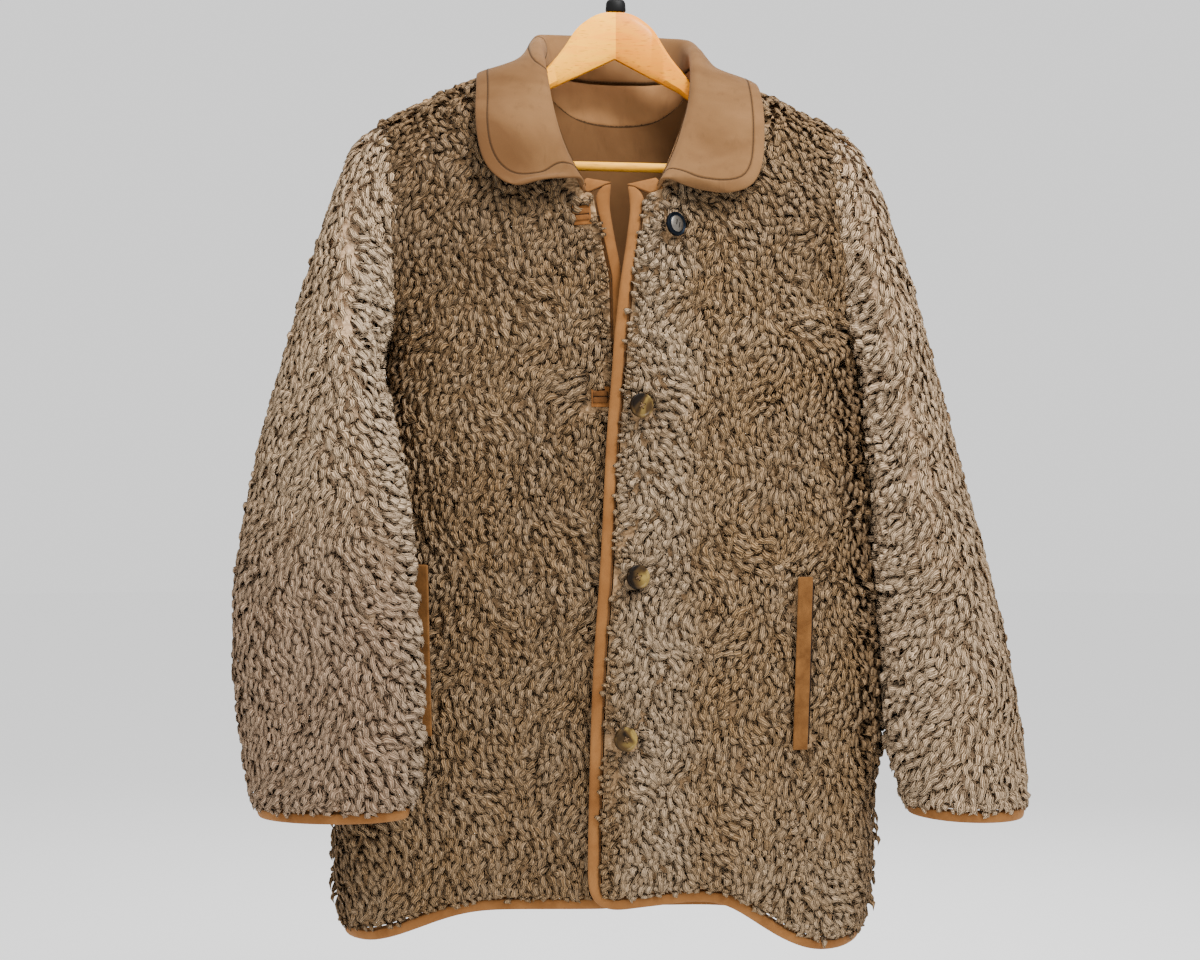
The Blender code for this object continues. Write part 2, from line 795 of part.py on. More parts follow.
def sleeve_rings(side):
    """Outer points of a sleeve, ring by ring from the armhole to the cuff's binding."""
    start = armhole_loop(side)
    quarter = ARMHOLE_STEPS
    upper = SHOULDER_STEPS
    turns = np.concatenate(
        [
            np.linspace(-90, 0, quarter + 1),
            np.linspace(0, 90, upper + 1)[1:],
            np.linspace(90, 180, upper + 1)[1:],
            np.linspace(180, 270, quarter + 1)[1:-1],
        ]
    )
    turns = np.radians(turns)
    rows = SLEEVE[side]

    def ellipse(outer, inner, half_depth):
        centre, reach = (outer + inner) / 2, (outer - inner) / 2
        front = np.array([0, -1.0, 0])
        front = unit(front - (front * unit(reach)).sum() * unit(reach))
        return centre + np.sin(turns)[:, None] * reach + np.cos(turns)[:, None] * front * half_depth

    tip = np.array(SHOULDER_TIP[side]) * MM
    held = start - ellipse(tip, start[0], ARMHOLE_HALF_DEPTH)
    rings = [start]
    for i in range(len(rows["ring"])):
        outer = np.array([rows[name][i] for name in ("outer_x", "outer_y", "outer_z")])
        inner = np.array([rows[name][i] for name in ("inner_x", "inner_y", "inner_z")])
        ring = ellipse(outer, inner, rows["half_depth"][i])
        if i + 1 < len(RING_ZERO_HOLD):
            ring = ring + held * RING_ZERO_HOLD[i + 1]
        rings.append(ring)
    rings = np.array(rings)
    out = normals(rings, closed=True)
    out *= np.sign(((rings - rings.mean(1, keepdims=True)) * out).sum())
    for at, around, depth in zip(*SLEEVE_FOLDS[side].values()):
        away = np.angle(np.exp(1j * (turns - math.radians(around / MM))))
        ring_away = np.arange(len(rings)) - at
        push = depth * np.exp(-((ring_away / 1.3) ** 2))[:, None] * np.exp(-((away / 0.5) ** 2))
        push[0] = 0
        rings = rings + push[..., None] * out
    return rings


def make_sleeve(side, name):
    rings = sleeve_rings(side)
    inward = normals(rings, closed=True)
    middle = rings.mean(1, keepdims=True)
    inward *= -np.sign(((rings - middle) * inward).sum())
    inward[0] = armhole_inward(side)
    inward[1] = unit(inward[0] + inward[1])
    outer = rings.copy()
    inner = outer + inward * WALL
    step = -border_outward(outer[0], inner[0], outer[1], closed=True) * SEAM_GAP / 2
    outer[0] += step
    inner[0] += step
    wall(name, outer, inner, MATERIALS["sleeve pile"], closed=True)
    return outer, inner


def bind_fronts(fronts):
    for side, name in ((RIGHT, "right"), (LEFT, "left")):
        points, inward = fronts[side]
        outer, inner = inset(points, inward)
        rows = points.shape[0]
        path = [(row, 0, row, 1) for row in range(rows - 1, 2, -1)]
        path += [(2, 0, 2, 1), (1, 0, 1, 1), (0, 0, 1, 1), (0, 1, 1, 1)]
        path += [(0, column, 1, column) for column in range(2, points.shape[1])]
        border = np.array([outer[a, b] for a, b, _, _ in path])
        lining = np.array([inner[a, b] for a, b, _, _ in path])
        near = np.array([outer[c, d] for _, _, c, d in path])
        outward = border_outward(border, lining, near)
        outward[-1] = (0, 0, -1)
        neck, neck_lining = outer[-1, NECK_BOUND], inner[-1, NECK_BOUND]
        neck_outward = border_outward(neck, neck_lining, outer[-2, NECK_BOUND])
        # The two bindings meet in a mitre at the neck corner
        mitre = outward[0] + neck_outward[0]
        along_edge = unit(border[1] - border[0])
        along_neck = unit(neck[1] - neck[0])
        outward[0] = mitre
        neck_outward[0] = mitre
        shift = np.zeros_like(border)
        shift[0] = along_edge * SEAM_GAP / 2
        sections = binding_sections(border + shift, lining + shift, outward)
        swept("front_binding_" + name, sections, MATERIALS["binding"])
        shift = neck_outward * SEAM_GAP
        shift[0] = along_neck * SEAM_GAP / 2
        shift[-1] -= along_neck * STAND_END_GAP
        sections = binding_sections(neck + shift, neck_lining + shift, neck_outward)
        swept("neck_binding_" + name, sections, MATERIALS["binding"])


def bind_back(back):
    outer, inner = inset(*back)
    outward = border_outward(outer[0], inner[0], outer[1])
    outward[0] = outward[-1] = (0, 0, -1)
    sections = binding_sections(outer[0], inner[0], outward)
    swept("back_hem_binding", sections, MATERIALS["binding"])


def bind_cuff(name, outer, inner):
    outward = border_outward(outer[-1], inner[-1], outer[-2], closed=True)
    sections = binding_sections(outer[-1], inner[-1], outward)
    swept(name, sections, MATERIALS["binding"], closed=True)


# ---------------------------------------------------------------- collar


def neck_seam(fronts, back):
    """Base of the collar's stand: a line just above the rim of the neck, from the right to the left.

    It comes with the directions across the wall and straight out of the rim."""
    runs = []
    for side in (RIGHT, LEFT):
        outer, inner = inset(*fronts[side])
        columns = np.arange(3, len(NECK_COLUMNS))
        runs.append((outer[-1, columns], inner[-1, columns]))
    outer, inner = inset(*back)
    half = len(SHOULDER_COLUMNS)
    columns = np.arange(half, outer.shape[1] - half)[1:-1]
    nape = (outer[-1, columns], inner[-1, columns])
    right, left = runs
    border = np.concatenate([right[0], nape[0], left[0][::-1]])
    lining = np.concatenate([right[1], nape[1], left[1][::-1]])
    out = border_outward(border, lining, 2 * border - np.array(NECK_MIDDLE) * MM)
    foot = border + (lining - border) * STAND_INWARD + out * STAND_GAP
    foot[0] += unit(foot[1] - foot[0]) * STAND_END_GAP
    foot[-1] += unit(foot[-2] - foot[-1]) * STAND_END_GAP
    return halved(foot), unit(halved(unit(border - lining))), unit(halved(out))


def halved(line):
    """A line with a point added in the middle of each stretch."""
    return np.insert(line, np.arange(1, len(line)), (line[1:] + line[:-1]) / 2, axis=0)


def collar_sections(foot, rim_out):
    """Middle of the collar's cloth at each station, from the neck seam over the roll to the edge."""
    length = np.concatenate([[0], np.cumsum(np.linalg.norm(np.diff(foot, axis=0), axis=1))])
    shares = length / length[-1]
    roll = smooth(COLLAR, "roll_x roll_y roll_z", shares)
    edge = smooth(COLLAR, "edge_x edge_y edge_z", shares)
    sections = []
    for base, square, top, end in zip(foot, rim_out, roll, edge):
        start = base + square * STAND_START
        up = unit(top - start)
        out = end - start
        out = unit(out - (out * up).sum() * up)
        turned = top + out * COLLAR_ROLL - up * COLLAR_ROLL

        def fold(angle):
            return turned + COLLAR_ROLL * (up * math.sin(angle) - out * math.cos(angle))

        best = max(
            np.radians(np.arange(20, 176, 2)),
            key=lambda a: unit(end - fold(a)) @ (up * math.cos(a) + out * math.sin(a)),
        )
        before = fold(0)
        up_shares = (0, SEAM_IN_STAND, SEAM_IN_STAND, 0.78)
        rise = [base] + [start + (before - start) * t for t in up_shares]
        arc = [fold(best * t) for t in (0, 0.34, 0.67, 1)]
        last = arc[-1]
        lift = np.cross(end - last, np.cross(end - last, up * math.cos(best) + out * math.sin(best)))
        crown = -unit(lift) * COLLAR_CROWN * np.linalg.norm(end - last)
        fall = [last + (end - last) * t + crown * math.sin(math.pi * t) for t in FALL_SHARES]
        sections.append(rise + arc + fall)
    return np.array(sections)


def keep_clear(sections, tree):
    """Lifts the collar's fall clear of the panels it lies on, between its points as well as at them."""
    for _ in range(4):
        for across, down in ((0, 0), (1, 0), (0, 1), (1, 1)):
            for i in range(len(sections) - across):
                for j in range(FALL_ON_PANELS, sections.shape[1] - down):
                    cell = sections[i : i + across + 1, j : j + down + 1]
                    middle = cell.mean((0, 1))
                    near, normal, _, reach = tree.find_nearest(middle.tolist())
                    normal = np.array(normal)
                    clear = math.copysign(reach, (middle - np.array(near)) @ normal)
                    if clear < COLLAR_CLEARANCE and reach < MOST_SUNK:
                        cell += (COLLAR_CLEARANCE - clear) * normal
    return sections


def make_collar(fronts, back, sleeves):
    foot, across, rim_out = neck_seam(fronts, back)
    sections = collar_sections(foot, rim_out)
    skin = skin_tree([*fronts.values(), back], sleeves)
    sections = keep_clear(sections, skin)
    out = normals(sections)
    rise = unit(sections[:, 2] - sections[:, 1])
    seam_step = rise * SEAM_GAP / 2
    stand, fall = sections[:, :3].copy(), sections[:, 3:].copy()
    out[:, 3] = out[:, 2] = unit(out[:, 1] + out[:, 4])
    stand[:, 2] -= seam_step
    fall[:, 0] += seam_step
    half = SUEDE / 2
    out[:, 0] = across * np.sign((across * out[:, 1]).sum())
    wall("collar_stand", stand + out[:, :3] * half, stand - out[:, :3] * half, MATERIALS["suede"])
    wall("collar_fall", fall + out[:, 3:] * half, fall - out[:, 3:] * half, MATERIALS["suede"])


# ---------------------------------------------------------------- fastenings and pockets


def on_panel(panel, x, z):
    """The point of a front panel's outer face seen straight from the front at (x, z), and its normal."""
    tree = tree_of(panel)
    hit, normal, _, _ = tree.ray_cast((x, -1, z), (0, 1, 0))
    return np.array(hit), np.array(normal)


def patch(name, panel, corners, thick, material, rows, columns):
    """A flat strip lying on a panel between four corners given as (x, z) from the front."""
    tree = tree_of(panel)
    low_left, low_right, high_left, high_right = (np.array(corner) for corner in corners)
    outer = np.zeros((rows, columns, 3))
    for i, t in enumerate(np.linspace(0, 1, rows)):
        for j, s in enumerate(np.linspace(0, 1, columns)):
            low = low_left + (low_right - low_left) * s
            high = high_left + (high_right - high_left) * s
            x, z = low + (high - low) * t
            hit = tree.ray_cast((x, -1, z), (0, 1, 0))[0]
            outer[i, j] = hit
    out = normals(outer)
    out *= -np.sign(out[..., 1])[..., None]
    base = outer + out * RESTING_GAP
    return wall(name, base + out * thick, base, material)


def make_welts():
    for name, panel, low, high in (
        ("pocket_welt_right", "front_right", (-182, -769), (-186, -606)),
        ("pocket_welt_left", "front_left", (173.5, -781), (179, -617)),
    ):
        half = WELT_WIDTH / 2
        (xl, zl), (xh, zh) = np.array(low) * MM, np.array(high) * MM
        corners = ((xl - half, zl), (xl + half, zl), (xh - half, zh), (xh + half, zh))
        patch(name, bpy.data.objects[panel], corners, WELT_THICK, MATERIALS["binding"], 18, 3)


BUTTONHOLES = ((-33, -272), (-15, -446), (-2, -616), (-2, -768))  # x, z of each middle, in mm
BUTTONS = ((56, -284), (23.5, -455), (20, -616), (8.5, -768))


def make_buttonholes():
    for number, (x, z) in enumerate(BUTTONHOLES, 1):
        half, rise = BUTTONHOLE_WIDTH / 2, BUTTONHOLE_HEIGHT / 2
        x, z = x * MM, z * MM
        corners = [(x + a * half, z + b * rise) for b in (-1, 1) for a in (-1, 1)]
        panel = bpy.data.objects["front_right"]
        patch(f"buttonhole_{number}", panel, corners, BUTTONHOLE_THICK, MATERIALS["binding"], 4, 4)


def turned(name, profile, steps, material):
    """A solid turned about Z from a profile of (radius, height), which starts and ends on the axis."""
    mesh = bpy.data.meshes.new(name)
    edges = [(i, i + 1) for i in range(len(profile) - 1)]
    mesh.from_pydata([(r, 0, z) for r, z in profile], edges, [])
    thing = add_object(name, mesh, material)
    lathe = thing.modifiers.new("Turned", "SCREW")
    lathe.steps = lathe.render_steps = steps
    lathe.use_merge_vertices = True
    lathe.merge_threshold = AXIS_MERGE
    lathe.use_normal_calculate = True
    return thing


def make_button(name, holes, material):
    """A turned disc with a raised rim and a dished face, its face towards +Z, with sewing holes."""
    radius, thick = BUTTON_DIAMETER / 2, BUTTON_THICK
    profile = [
        (0, 0.62 * thick),
        (0.5 * radius, 0.6 * thick),
        (0.68 * radius, 0.72 * thick),
        (0.76 * radius, 0.96 * thick),
        (0.88 * radius, thick),
        (0.98 * radius, 0.82 * thick),
        (radius, 0.55 * thick),
        (0.86 * radius, 0.1 * thick),
        (0.7 * radius, 0),
        (0, 0),
    ]
    button = turned(name, profile, TURNED_STEPS, material)
    if not holes:
        return button
    for i in range(4):
        turn = math.pi / 4 + i * math.pi / 2
        reach = BUTTON_HOLE_SPACING / 2 * math.sqrt(2)
        place = (reach * math.cos(turn), reach * math.sin(turn), thick / 2)
        bpy.ops.mesh.primitive_cylinder_add(
            vertices=8, radius=BUTTON_HOLE / 2, depth=3 * thick, location=place
        )
        cut(button, bpy.context.object)
    return button


def cut(thing, cutter):
    """Subtracts the cutter, which is hidden and kept apart."""
    for collection in list(cutter.users_collection):
        collection.objects.unlink(cutter)
    CUTTERS.objects.link(cutter)
    cutter.hide_render = True
    cutter.display_type = "WIRE"
    cutter.parent = thing
    bore = thing.modifiers.new("Bore", "BOOLEAN")
    bore.operation = "DIFFERENCE"
    bore.object = cutter


def make_buttons():
    for number, (x, z) in enumerate(BUTTONS, 1):
        hit, normal = on_panel(bpy.data.objects["front_left"], x * MM, z * MM)
        name = f"button_{number}"
        if number == 1:
            button = make_button(name, False, MATERIALS["metal"])
        else:
            button = make_button(name, True, MATERIALS["horn"])
        out = unit(normal + np.array([0, -BUTTON_FACES_FRONT, 0]))
        across = unit(np.cross([0, 0, 1.0], out))
        up = np.cross(out, across)
        place = np.eye(4)
        place[:3, 0], place[:3, 1], place[:3, 2] = across, up, out
        place[:3, 3] = hit + out * BUTTON_GAP
        button.matrix_world = Matrix(place.tolist())


# ---------------------------------------------------------------- hanger

# Half of the arms: distance from the middle, top, bottom and how far forward they swing
ARMS = table(
    "share x top bottom y",
    [
        (0, 0, -62, -108.3, 8),
        (0.05, 10, -62.8, -113.3, 8),
        (0.1, 20, -66, -118.3, 7.6),
        (0.15, 28, -71, -122.4, 7.2),
        (0.2, 35.5, -77.2, -126.3, 6.5),
        (0.25, 41, -84, -129, 6),
        (0.32, 47, -94.3, -132, 5),
        (0.4, 56, -107.6, -136.8, 4),
        (0.48, 66, -119.6, -142, 2),
        (0.58, 88, -144, -161, -2.5),
        (0.7, 120, -156.5, -180, -8.5),
        (0.85, 158, -170, -207, -14),
        (0.95, 188, -187, -228, -19),
        (1, 196, -194, -226, -20.5),
    ],
)


def tilted(points):
    """Turns points of the level hanger by its small tilt, about the middle of its top."""
    x, z = points[..., 0], points[..., 2] - WOOD_TOP
    c, s = math.cos(HANGER_TILT), math.sin(HANGER_TILT)
    return np.stack([x * c + z * s, points[..., 1], -x * s + z * c + WOOD_TOP], -1)


def make_arms():
    shares = ARMS["share"]
    between = (shares[1:] + shares[:-1]) / 2
    half = smooth(ARMS, "x top bottom y", np.sort(np.concatenate([shares, between])))
    mirrored = half[1:][::-1].copy()
    mirrored[:, 0] *= -1
    rows = np.concatenate([mirrored, half])
    profile = [  # across the thickness and up the height, from -1 to 1
        (-1, -0.72),
        (-0.55, -1),
        (0.55, -1),
        (1, -0.72),
        (1, 0.72),
        (0.55, 1),
        (-0.55, 1),
        (-1, 0.72),
    ]
    sections = []
    for x, top, bottom, y in rows:
        middle, reach = (top + bottom) / 2, (top - bottom) / 2
        sections.append([(x, y + a * ARM_THICK / 2, middle + b * reach) for a, b in profile])
    arms = swept("hanger_arms", tilted(np.array(sections)), MATERIALS["wood"])
    y, z = BAR_PLACE
    lying = (0, math.pi / 2 + HANGER_TILT, 0)
    bpy.ops.mesh.primitive_cylinder_add(
        vertices=16,
        radius=BAR_RADIUS + WOOD_SLOT,
        depth=2 * BAR_HALF_LENGTH + 2 * WOOD_SLOT,
        location=tilted(np.array([0, y, z])).tolist(),
        rotation=lying,
    )
    cut(arms, bpy.context.object)
    bpy.ops.mesh.primitive_cylinder_add(
        vertices=12, radius=HOOK_WIRE + WOOD_SLOT, depth=40 * MM, location=(0, ARMS["y"][0], WOOD_TOP)
    )
    cut(arms, bpy.context.object)
    bpy.ops.mesh.primitive_cylinder_add(
        vertices=16,
        radius=BAR_RADIUS,
        depth=2 * BAR_HALF_LENGTH,
        location=tilted(np.array([0, y, z])).tolist(),
        rotation=lying,
    )
    keep(bpy.context.object, "hanger_bar", MATERIALS["wood"])


def keep(thing, name, material):
    for collection in list(thing.users_collection):
        collection.objects.unlink(thing)
    COLLECTION.objects.link(thing)
    thing.name = name
    thing.data.name = name
    thing.data.materials.append(material)
    thing.data.shade_smooth()
    thing.data.set_sharp_from_angle(angle=math.radians(40))


def make_hook():
    """The wire: up out of the wood, out to one side and over in a round hook."""
    middle = HOOK_WIRE - HOOK_RADIUS
    wood_y = ARMS["y"][0]
    path = [
        (0, wood_y, WOOD_TOP - 17 * MM),
        (0, wood_y, WOOD_TOP + 14 * MM),
        (1.5 * MM, wood_y * 0.85, WOOD_TOP + 19.5 * MM),
        (6 * MM, wood_y * 0.6, WOOD_TOP + 24 * MM),
    ]
    for angle in range(-50, 206, 15):
        turn = math.radians(angle)
        back = wood_y * 0.35 * (1 - ease(angle, -50, 60))
        path.append((HOOK_RADIUS * math.cos(turn), back, middle + HOOK_RADIUS * math.sin(turn)))
    curve = bpy.data.curves.new("hanger_hook", "CURVE")
    curve.dimensions = "3D"
    curve.bevel_depth = HOOK_WIRE
    curve.bevel_resolution = 2
    curve.use_fill_caps = True
    spline = curve.splines.new("POLY")
    spline.points.add(len(path) - 1)
    for point, place in zip(spline.points, path):
        point.co = (*[float(value) for value in place], 1)
    curve.materials.append(MATERIALS["wire"])
    COLLECTION.objects.link(bpy.data.objects.new("hanger_hook", curve))


def make_hook_collar():
    """A plain sleeve, oval in plan, standing on the wood round the hook, bored for its wire."""
    height = 12 * MM
    profile = [
        (0, 0),
        (9.2 * MM, 0),
        (10.2 * MM, 1.2 * MM),
        (9.6 * MM, 9 * MM),
        (8.2 * MM, 11.6 * MM),
        (7.4 * MM, height),
        (0, height),
    ]
    collar = turned("hook_collar", profile, TURNED_STEPS, MATERIALS["plastic"])
    bpy.ops.mesh.primitive_cylinder_add(
        vertices=12, radius=HOOK_WIRE + HOOK_CLEARANCE, depth=4 * height
    )
    bore = bpy.context.object
    bore.scale.y = 1 / HOOK_COLLAR_OVAL
    cut(collar, bore)
    collar.scale.y = HOOK_COLLAR_OVAL
    collar.location = (0, ARMS["y"][0], WOOD_TOP + SEAM_GAP)


# ---------------------------------------------------------------- the coat

for leftover in list(bpy.data.objects):
    bpy.data.objects.remove(leftover)
COLLECTION = bpy.data.collections.new("teddy_coat")
CUTTERS = bpy.data.collections.new("cutters")
bpy.context.scene.collection.children.link(COLLECTION)
bpy.context.scene.collection.children.link(CUTTERS)
MATERIALS = {
    "pile": plain_material("brown beige pile", (0.36, 0.27, 0.18), 0.95),
    "sleeve pile": plain_material("cream beige pile", (0.46, 0.36, 0.27), 0.95),
    "suede": plain_material("tan suede", (0.30, 0.16, 0.08), 0.85),
    "binding": plain_material("orange tan suede", (0.38, 0.19, 0.08), 0.8),
    "horn": plain_material("brown horn", (0.12, 0.06, 0.025), 0.3),
    "metal": plain_material("dark button metal", (0.35, 0.35, 0.38), 0.3, 1.0),
    "wood": plain_material("pale lacquered wood", (0.72, 0.42, 0.16), 0.35),
    "wire": plain_material("bright wire", (0.6, 0.6, 0.6), 0.25, 1.0),
    "plastic": plain_material("black plastic", (0.01, 0.01, 0.012), 0.4),
}

FRONTS = make_fronts()
BACK = make_back()
SLEEVES = []
for wearer_side, label in ((RIGHT, "right"), (LEFT, "left")):
    sleeve_outer, sleeve_inner = make_sleeve(wearer_side, "sleeve_" + label)
    bind_cuff("cuff_binding_" + label, sleeve_outer, sleeve_inner)
    SLEEVES.append((sleeve_outer, sleeve_inner - sleeve_outer))
bind_fronts(FRONTS)
bind_back(BACK)
make_collar(FRONTS, BACK, SLEEVES)
make_welts()
make_buttonholes()
make_buttons()
make_arms()
make_hook()
make_hook_collar()
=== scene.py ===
"""Curly fleece coat with suede collar and bindings, hung open-necked on a wooden hanger."""

import math
from itertools import product

import bpy
import numpy as np
from mathutils import Matrix, Vector, noise
from mathutils.bvhtree import BVHTree
from numpy.linalg import norm


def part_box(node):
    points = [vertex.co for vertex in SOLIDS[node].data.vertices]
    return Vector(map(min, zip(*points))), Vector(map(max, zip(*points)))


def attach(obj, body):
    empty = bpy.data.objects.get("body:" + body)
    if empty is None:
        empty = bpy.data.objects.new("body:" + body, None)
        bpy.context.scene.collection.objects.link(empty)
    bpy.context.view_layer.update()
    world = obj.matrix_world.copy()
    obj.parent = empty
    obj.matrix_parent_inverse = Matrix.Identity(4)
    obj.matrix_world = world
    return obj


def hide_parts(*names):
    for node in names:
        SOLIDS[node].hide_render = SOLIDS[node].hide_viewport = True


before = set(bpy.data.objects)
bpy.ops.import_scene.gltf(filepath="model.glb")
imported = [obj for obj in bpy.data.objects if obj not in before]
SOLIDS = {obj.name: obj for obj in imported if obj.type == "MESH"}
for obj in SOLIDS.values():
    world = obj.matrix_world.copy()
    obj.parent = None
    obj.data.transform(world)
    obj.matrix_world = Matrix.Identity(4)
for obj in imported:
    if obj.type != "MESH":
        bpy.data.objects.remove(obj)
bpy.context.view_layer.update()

MM = 0.001
QUARTER = math.pi / 2
SEED = 7
RNG = np.random.default_rng(SEED)

# The camera stands level in front of the coat, a little to the wearer's right
CAMERA_PLACE = (-0.0155, -2.1, -0.525)
CAMERA_LENS = 63.83
SENSOR_WIDTH = 36
FLOOR_HEIGHT = -1.35

CLOTH_THICK = 6.0 * MM  # the cloth and the dense wool at the curls' roots
RIM_ANGLE = 50  # a wall's rim meets its two sides more sharply than this, in degrees
COLLAR_RIM_ANGLE = 60  # the same for the collar
COLLAR_THICK = 3.6 * MM
COLLAR_STITCH = 12.5 * MM  # the collar's topstitching, in from its edge
BINDING_STITCH = 2.2 * MM


# ---- work habits


def take(*pieces):
    """Nothing but these pieces is selected, and the last is the active one."""
    if bpy.context.mode != "OBJECT":
        done()
    bpy.ops.object.select_all(action="DESELECT")
    for piece in pieces:
        piece.select_set(True)
    bpy.context.view_layer.objects.active = pieces[-1]


def edit(piece, mode="FACE"):
    take(piece)
    bpy.ops.object.mode_set(mode="EDIT")
    bpy.ops.mesh.select_mode(type=mode)
    bpy.ops.mesh.select_all(action="SELECT")


def done():
    bpy.ops.object.mode_set(mode="OBJECT")


def pick(elements, test):
    """Selects the faces, or the points, for which the test holds, in edit mode."""
    bpy.ops.mesh.select_all(action="DESELECT")
    done()
    for element in elements:
        element.select = bool(test(element))
    bpy.ops.object.mode_set(mode="EDIT")


def modify(piece, kind, **settings):
    """Adds a modifier and applies it."""
    take(piece)
    modifier = piece.modifiers.new(kind.title(), kind)
    for key, value in settings.items():
        setattr(modifier, key, value)
    bpy.ops.object.modifier_apply(modifier=modifier.name)


def round_off(piece, levels):
    modify(piece, "SUBSURF", levels=levels, render_levels=levels)


def ease_edges(piece, width, segments, over=30):
    """Bevels the edges that are sharper than this angle in degrees."""
    limit = math.radians(over)
    modify(piece, "BEVEL", width=width, segments=segments, limit_method="ANGLE", angle_limit=limit)


def smooth(piece, angle=None):
    take(piece)
    if angle is None:
        bpy.ops.object.shade_smooth()
    else:
        bpy.ops.object.shade_smooth_by_angle(angle=math.radians(angle))


def named(piece, name):
    piece.name = piece.data.name = name
    return piece


def fresh(name, primitive, scale=(1, 1, 1), **settings):
    """A primitive as a piece of its own, with its place, turn and scale applied."""
    bpy.ops.object.select_all(action="DESELECT")
    primitive(**settings)
    piece = named(bpy.context.object, name)
    piece.scale = scale
    bpy.ops.object.transform_apply(location=True, rotation=True, scale=True)
    return piece


def block(name, sides, place=(0, 0, 0), turn=0.0):
    return fresh(name, bpy.ops.mesh.primitive_cube_add, sides, size=1, location=place, rotation=(0, 0, turn))


def placed(name, data):
    """An object in the scene for a mesh, a lamp or a camera."""
    data.name = name
    piece = bpy.data.objects.new(name, data)
    bpy.context.scene.collection.objects.link(piece)
    return piece


def rod(name, vertices, radius, depth, **where):
    cylinder = bpy.ops.mesh.primitive_cylinder_add
    return fresh(name, cylinder, vertices=vertices, radius=radius, depth=depth, **where)


def taken_apart(piece):
    """A piece's points and faces, to be copied from; the piece itself goes."""
    points, faces = points_of(piece.data), [tuple(face.vertices) for face in piece.data.polygons]
    bpy.data.objects.remove(piece)
    return points, faces


def piece_of(name, copies):
    """One smooth mesh out of many moved copies, each as (points, faces)."""
    points, faces = [], []
    for moved, shape in copies:
        faces += [[len(points) + i for i in face] for face in shape]
        points += moved.tolist()
    mesh = bpy.data.meshes.new(name)
    mesh.from_pydata(points, [], faces)
    piece = placed(name, mesh)
    smooth(piece)
    return piece


def dress(piece, *materials):
    piece.data.materials.clear()
    for material in materials:
        piece.data.materials.append(material)


def belong(piece, slot, node=None):
    """Puts a piece on the one body, and in the place of a node's solid where it has one."""
    if node:
        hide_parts(node)
    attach(piece, "root")


def points_of(mesh):
    points = np.empty(len(mesh.vertices) * 3)
    mesh.vertices.foreach_get("co", points)
    return points.reshape(-1, 3)


def tree_of(*pieces):
    """The surfaces of these pieces, to measure how near they are."""
    points, faces = [], []
    for piece in pieces:
        faces += [[i + len(points) for i in face.vertices] for face in piece.data.polygons]
        points += [vertex.co for vertex in piece.data.vertices]
    return BVHTree.FromPolygons(points, faces)


def merged_copy(node, name):
    """A CAD node's shape as a mesh of its own, its loose triangles joined into quads."""
    piece = placed(name, SOLIDS[node].data.copy())
    edit(piece)
    bpy.ops.mesh.remove_doubles(threshold=0.02 * MM)
    bpy.ops.mesh.tris_convert_to_quads(face_threshold=math.radians(50), shape_threshold=math.radians(70))
    done()
    return piece


def covering(node, kind, material, slot, angle=None, edge=None, rounds=2, drawn_out=0.0):
    """A CAD node's shape in its material and its place, its edges eased or all of it rounded off."""
    piece = merged_copy(node, f"{node}_{kind}")
    if drawn_out:
        lengthen(piece, drawn_out)
    if edge:
        ease_edges(piece, *edge, 40)
    else:
        round_off(piece, rounds)
    smooth(piece, angle)
    dress(piece, material)
    belong(piece, slot, node)
    return piece


def give_value(piece, name, values):
    layer = piece.data.attributes.new(name, "FLOAT", "POINT")
    layer.data.foreach_set("value", np.asarray(values, np.float32))


def fade(value, low, high):
    """0 below low, 1 above high, smooth between."""
    t = min(1.0, max(0.0, (value - low) / (high - low)))
    return t * t * (3 - 2 * t)


def drift(place, scale, seed):
    """Smooth noise from -1 to 1 at a place."""
    return noise.noise(Vector(place) / scale + Vector((seed, seed * 1.7, -seed)))


# ---- materials


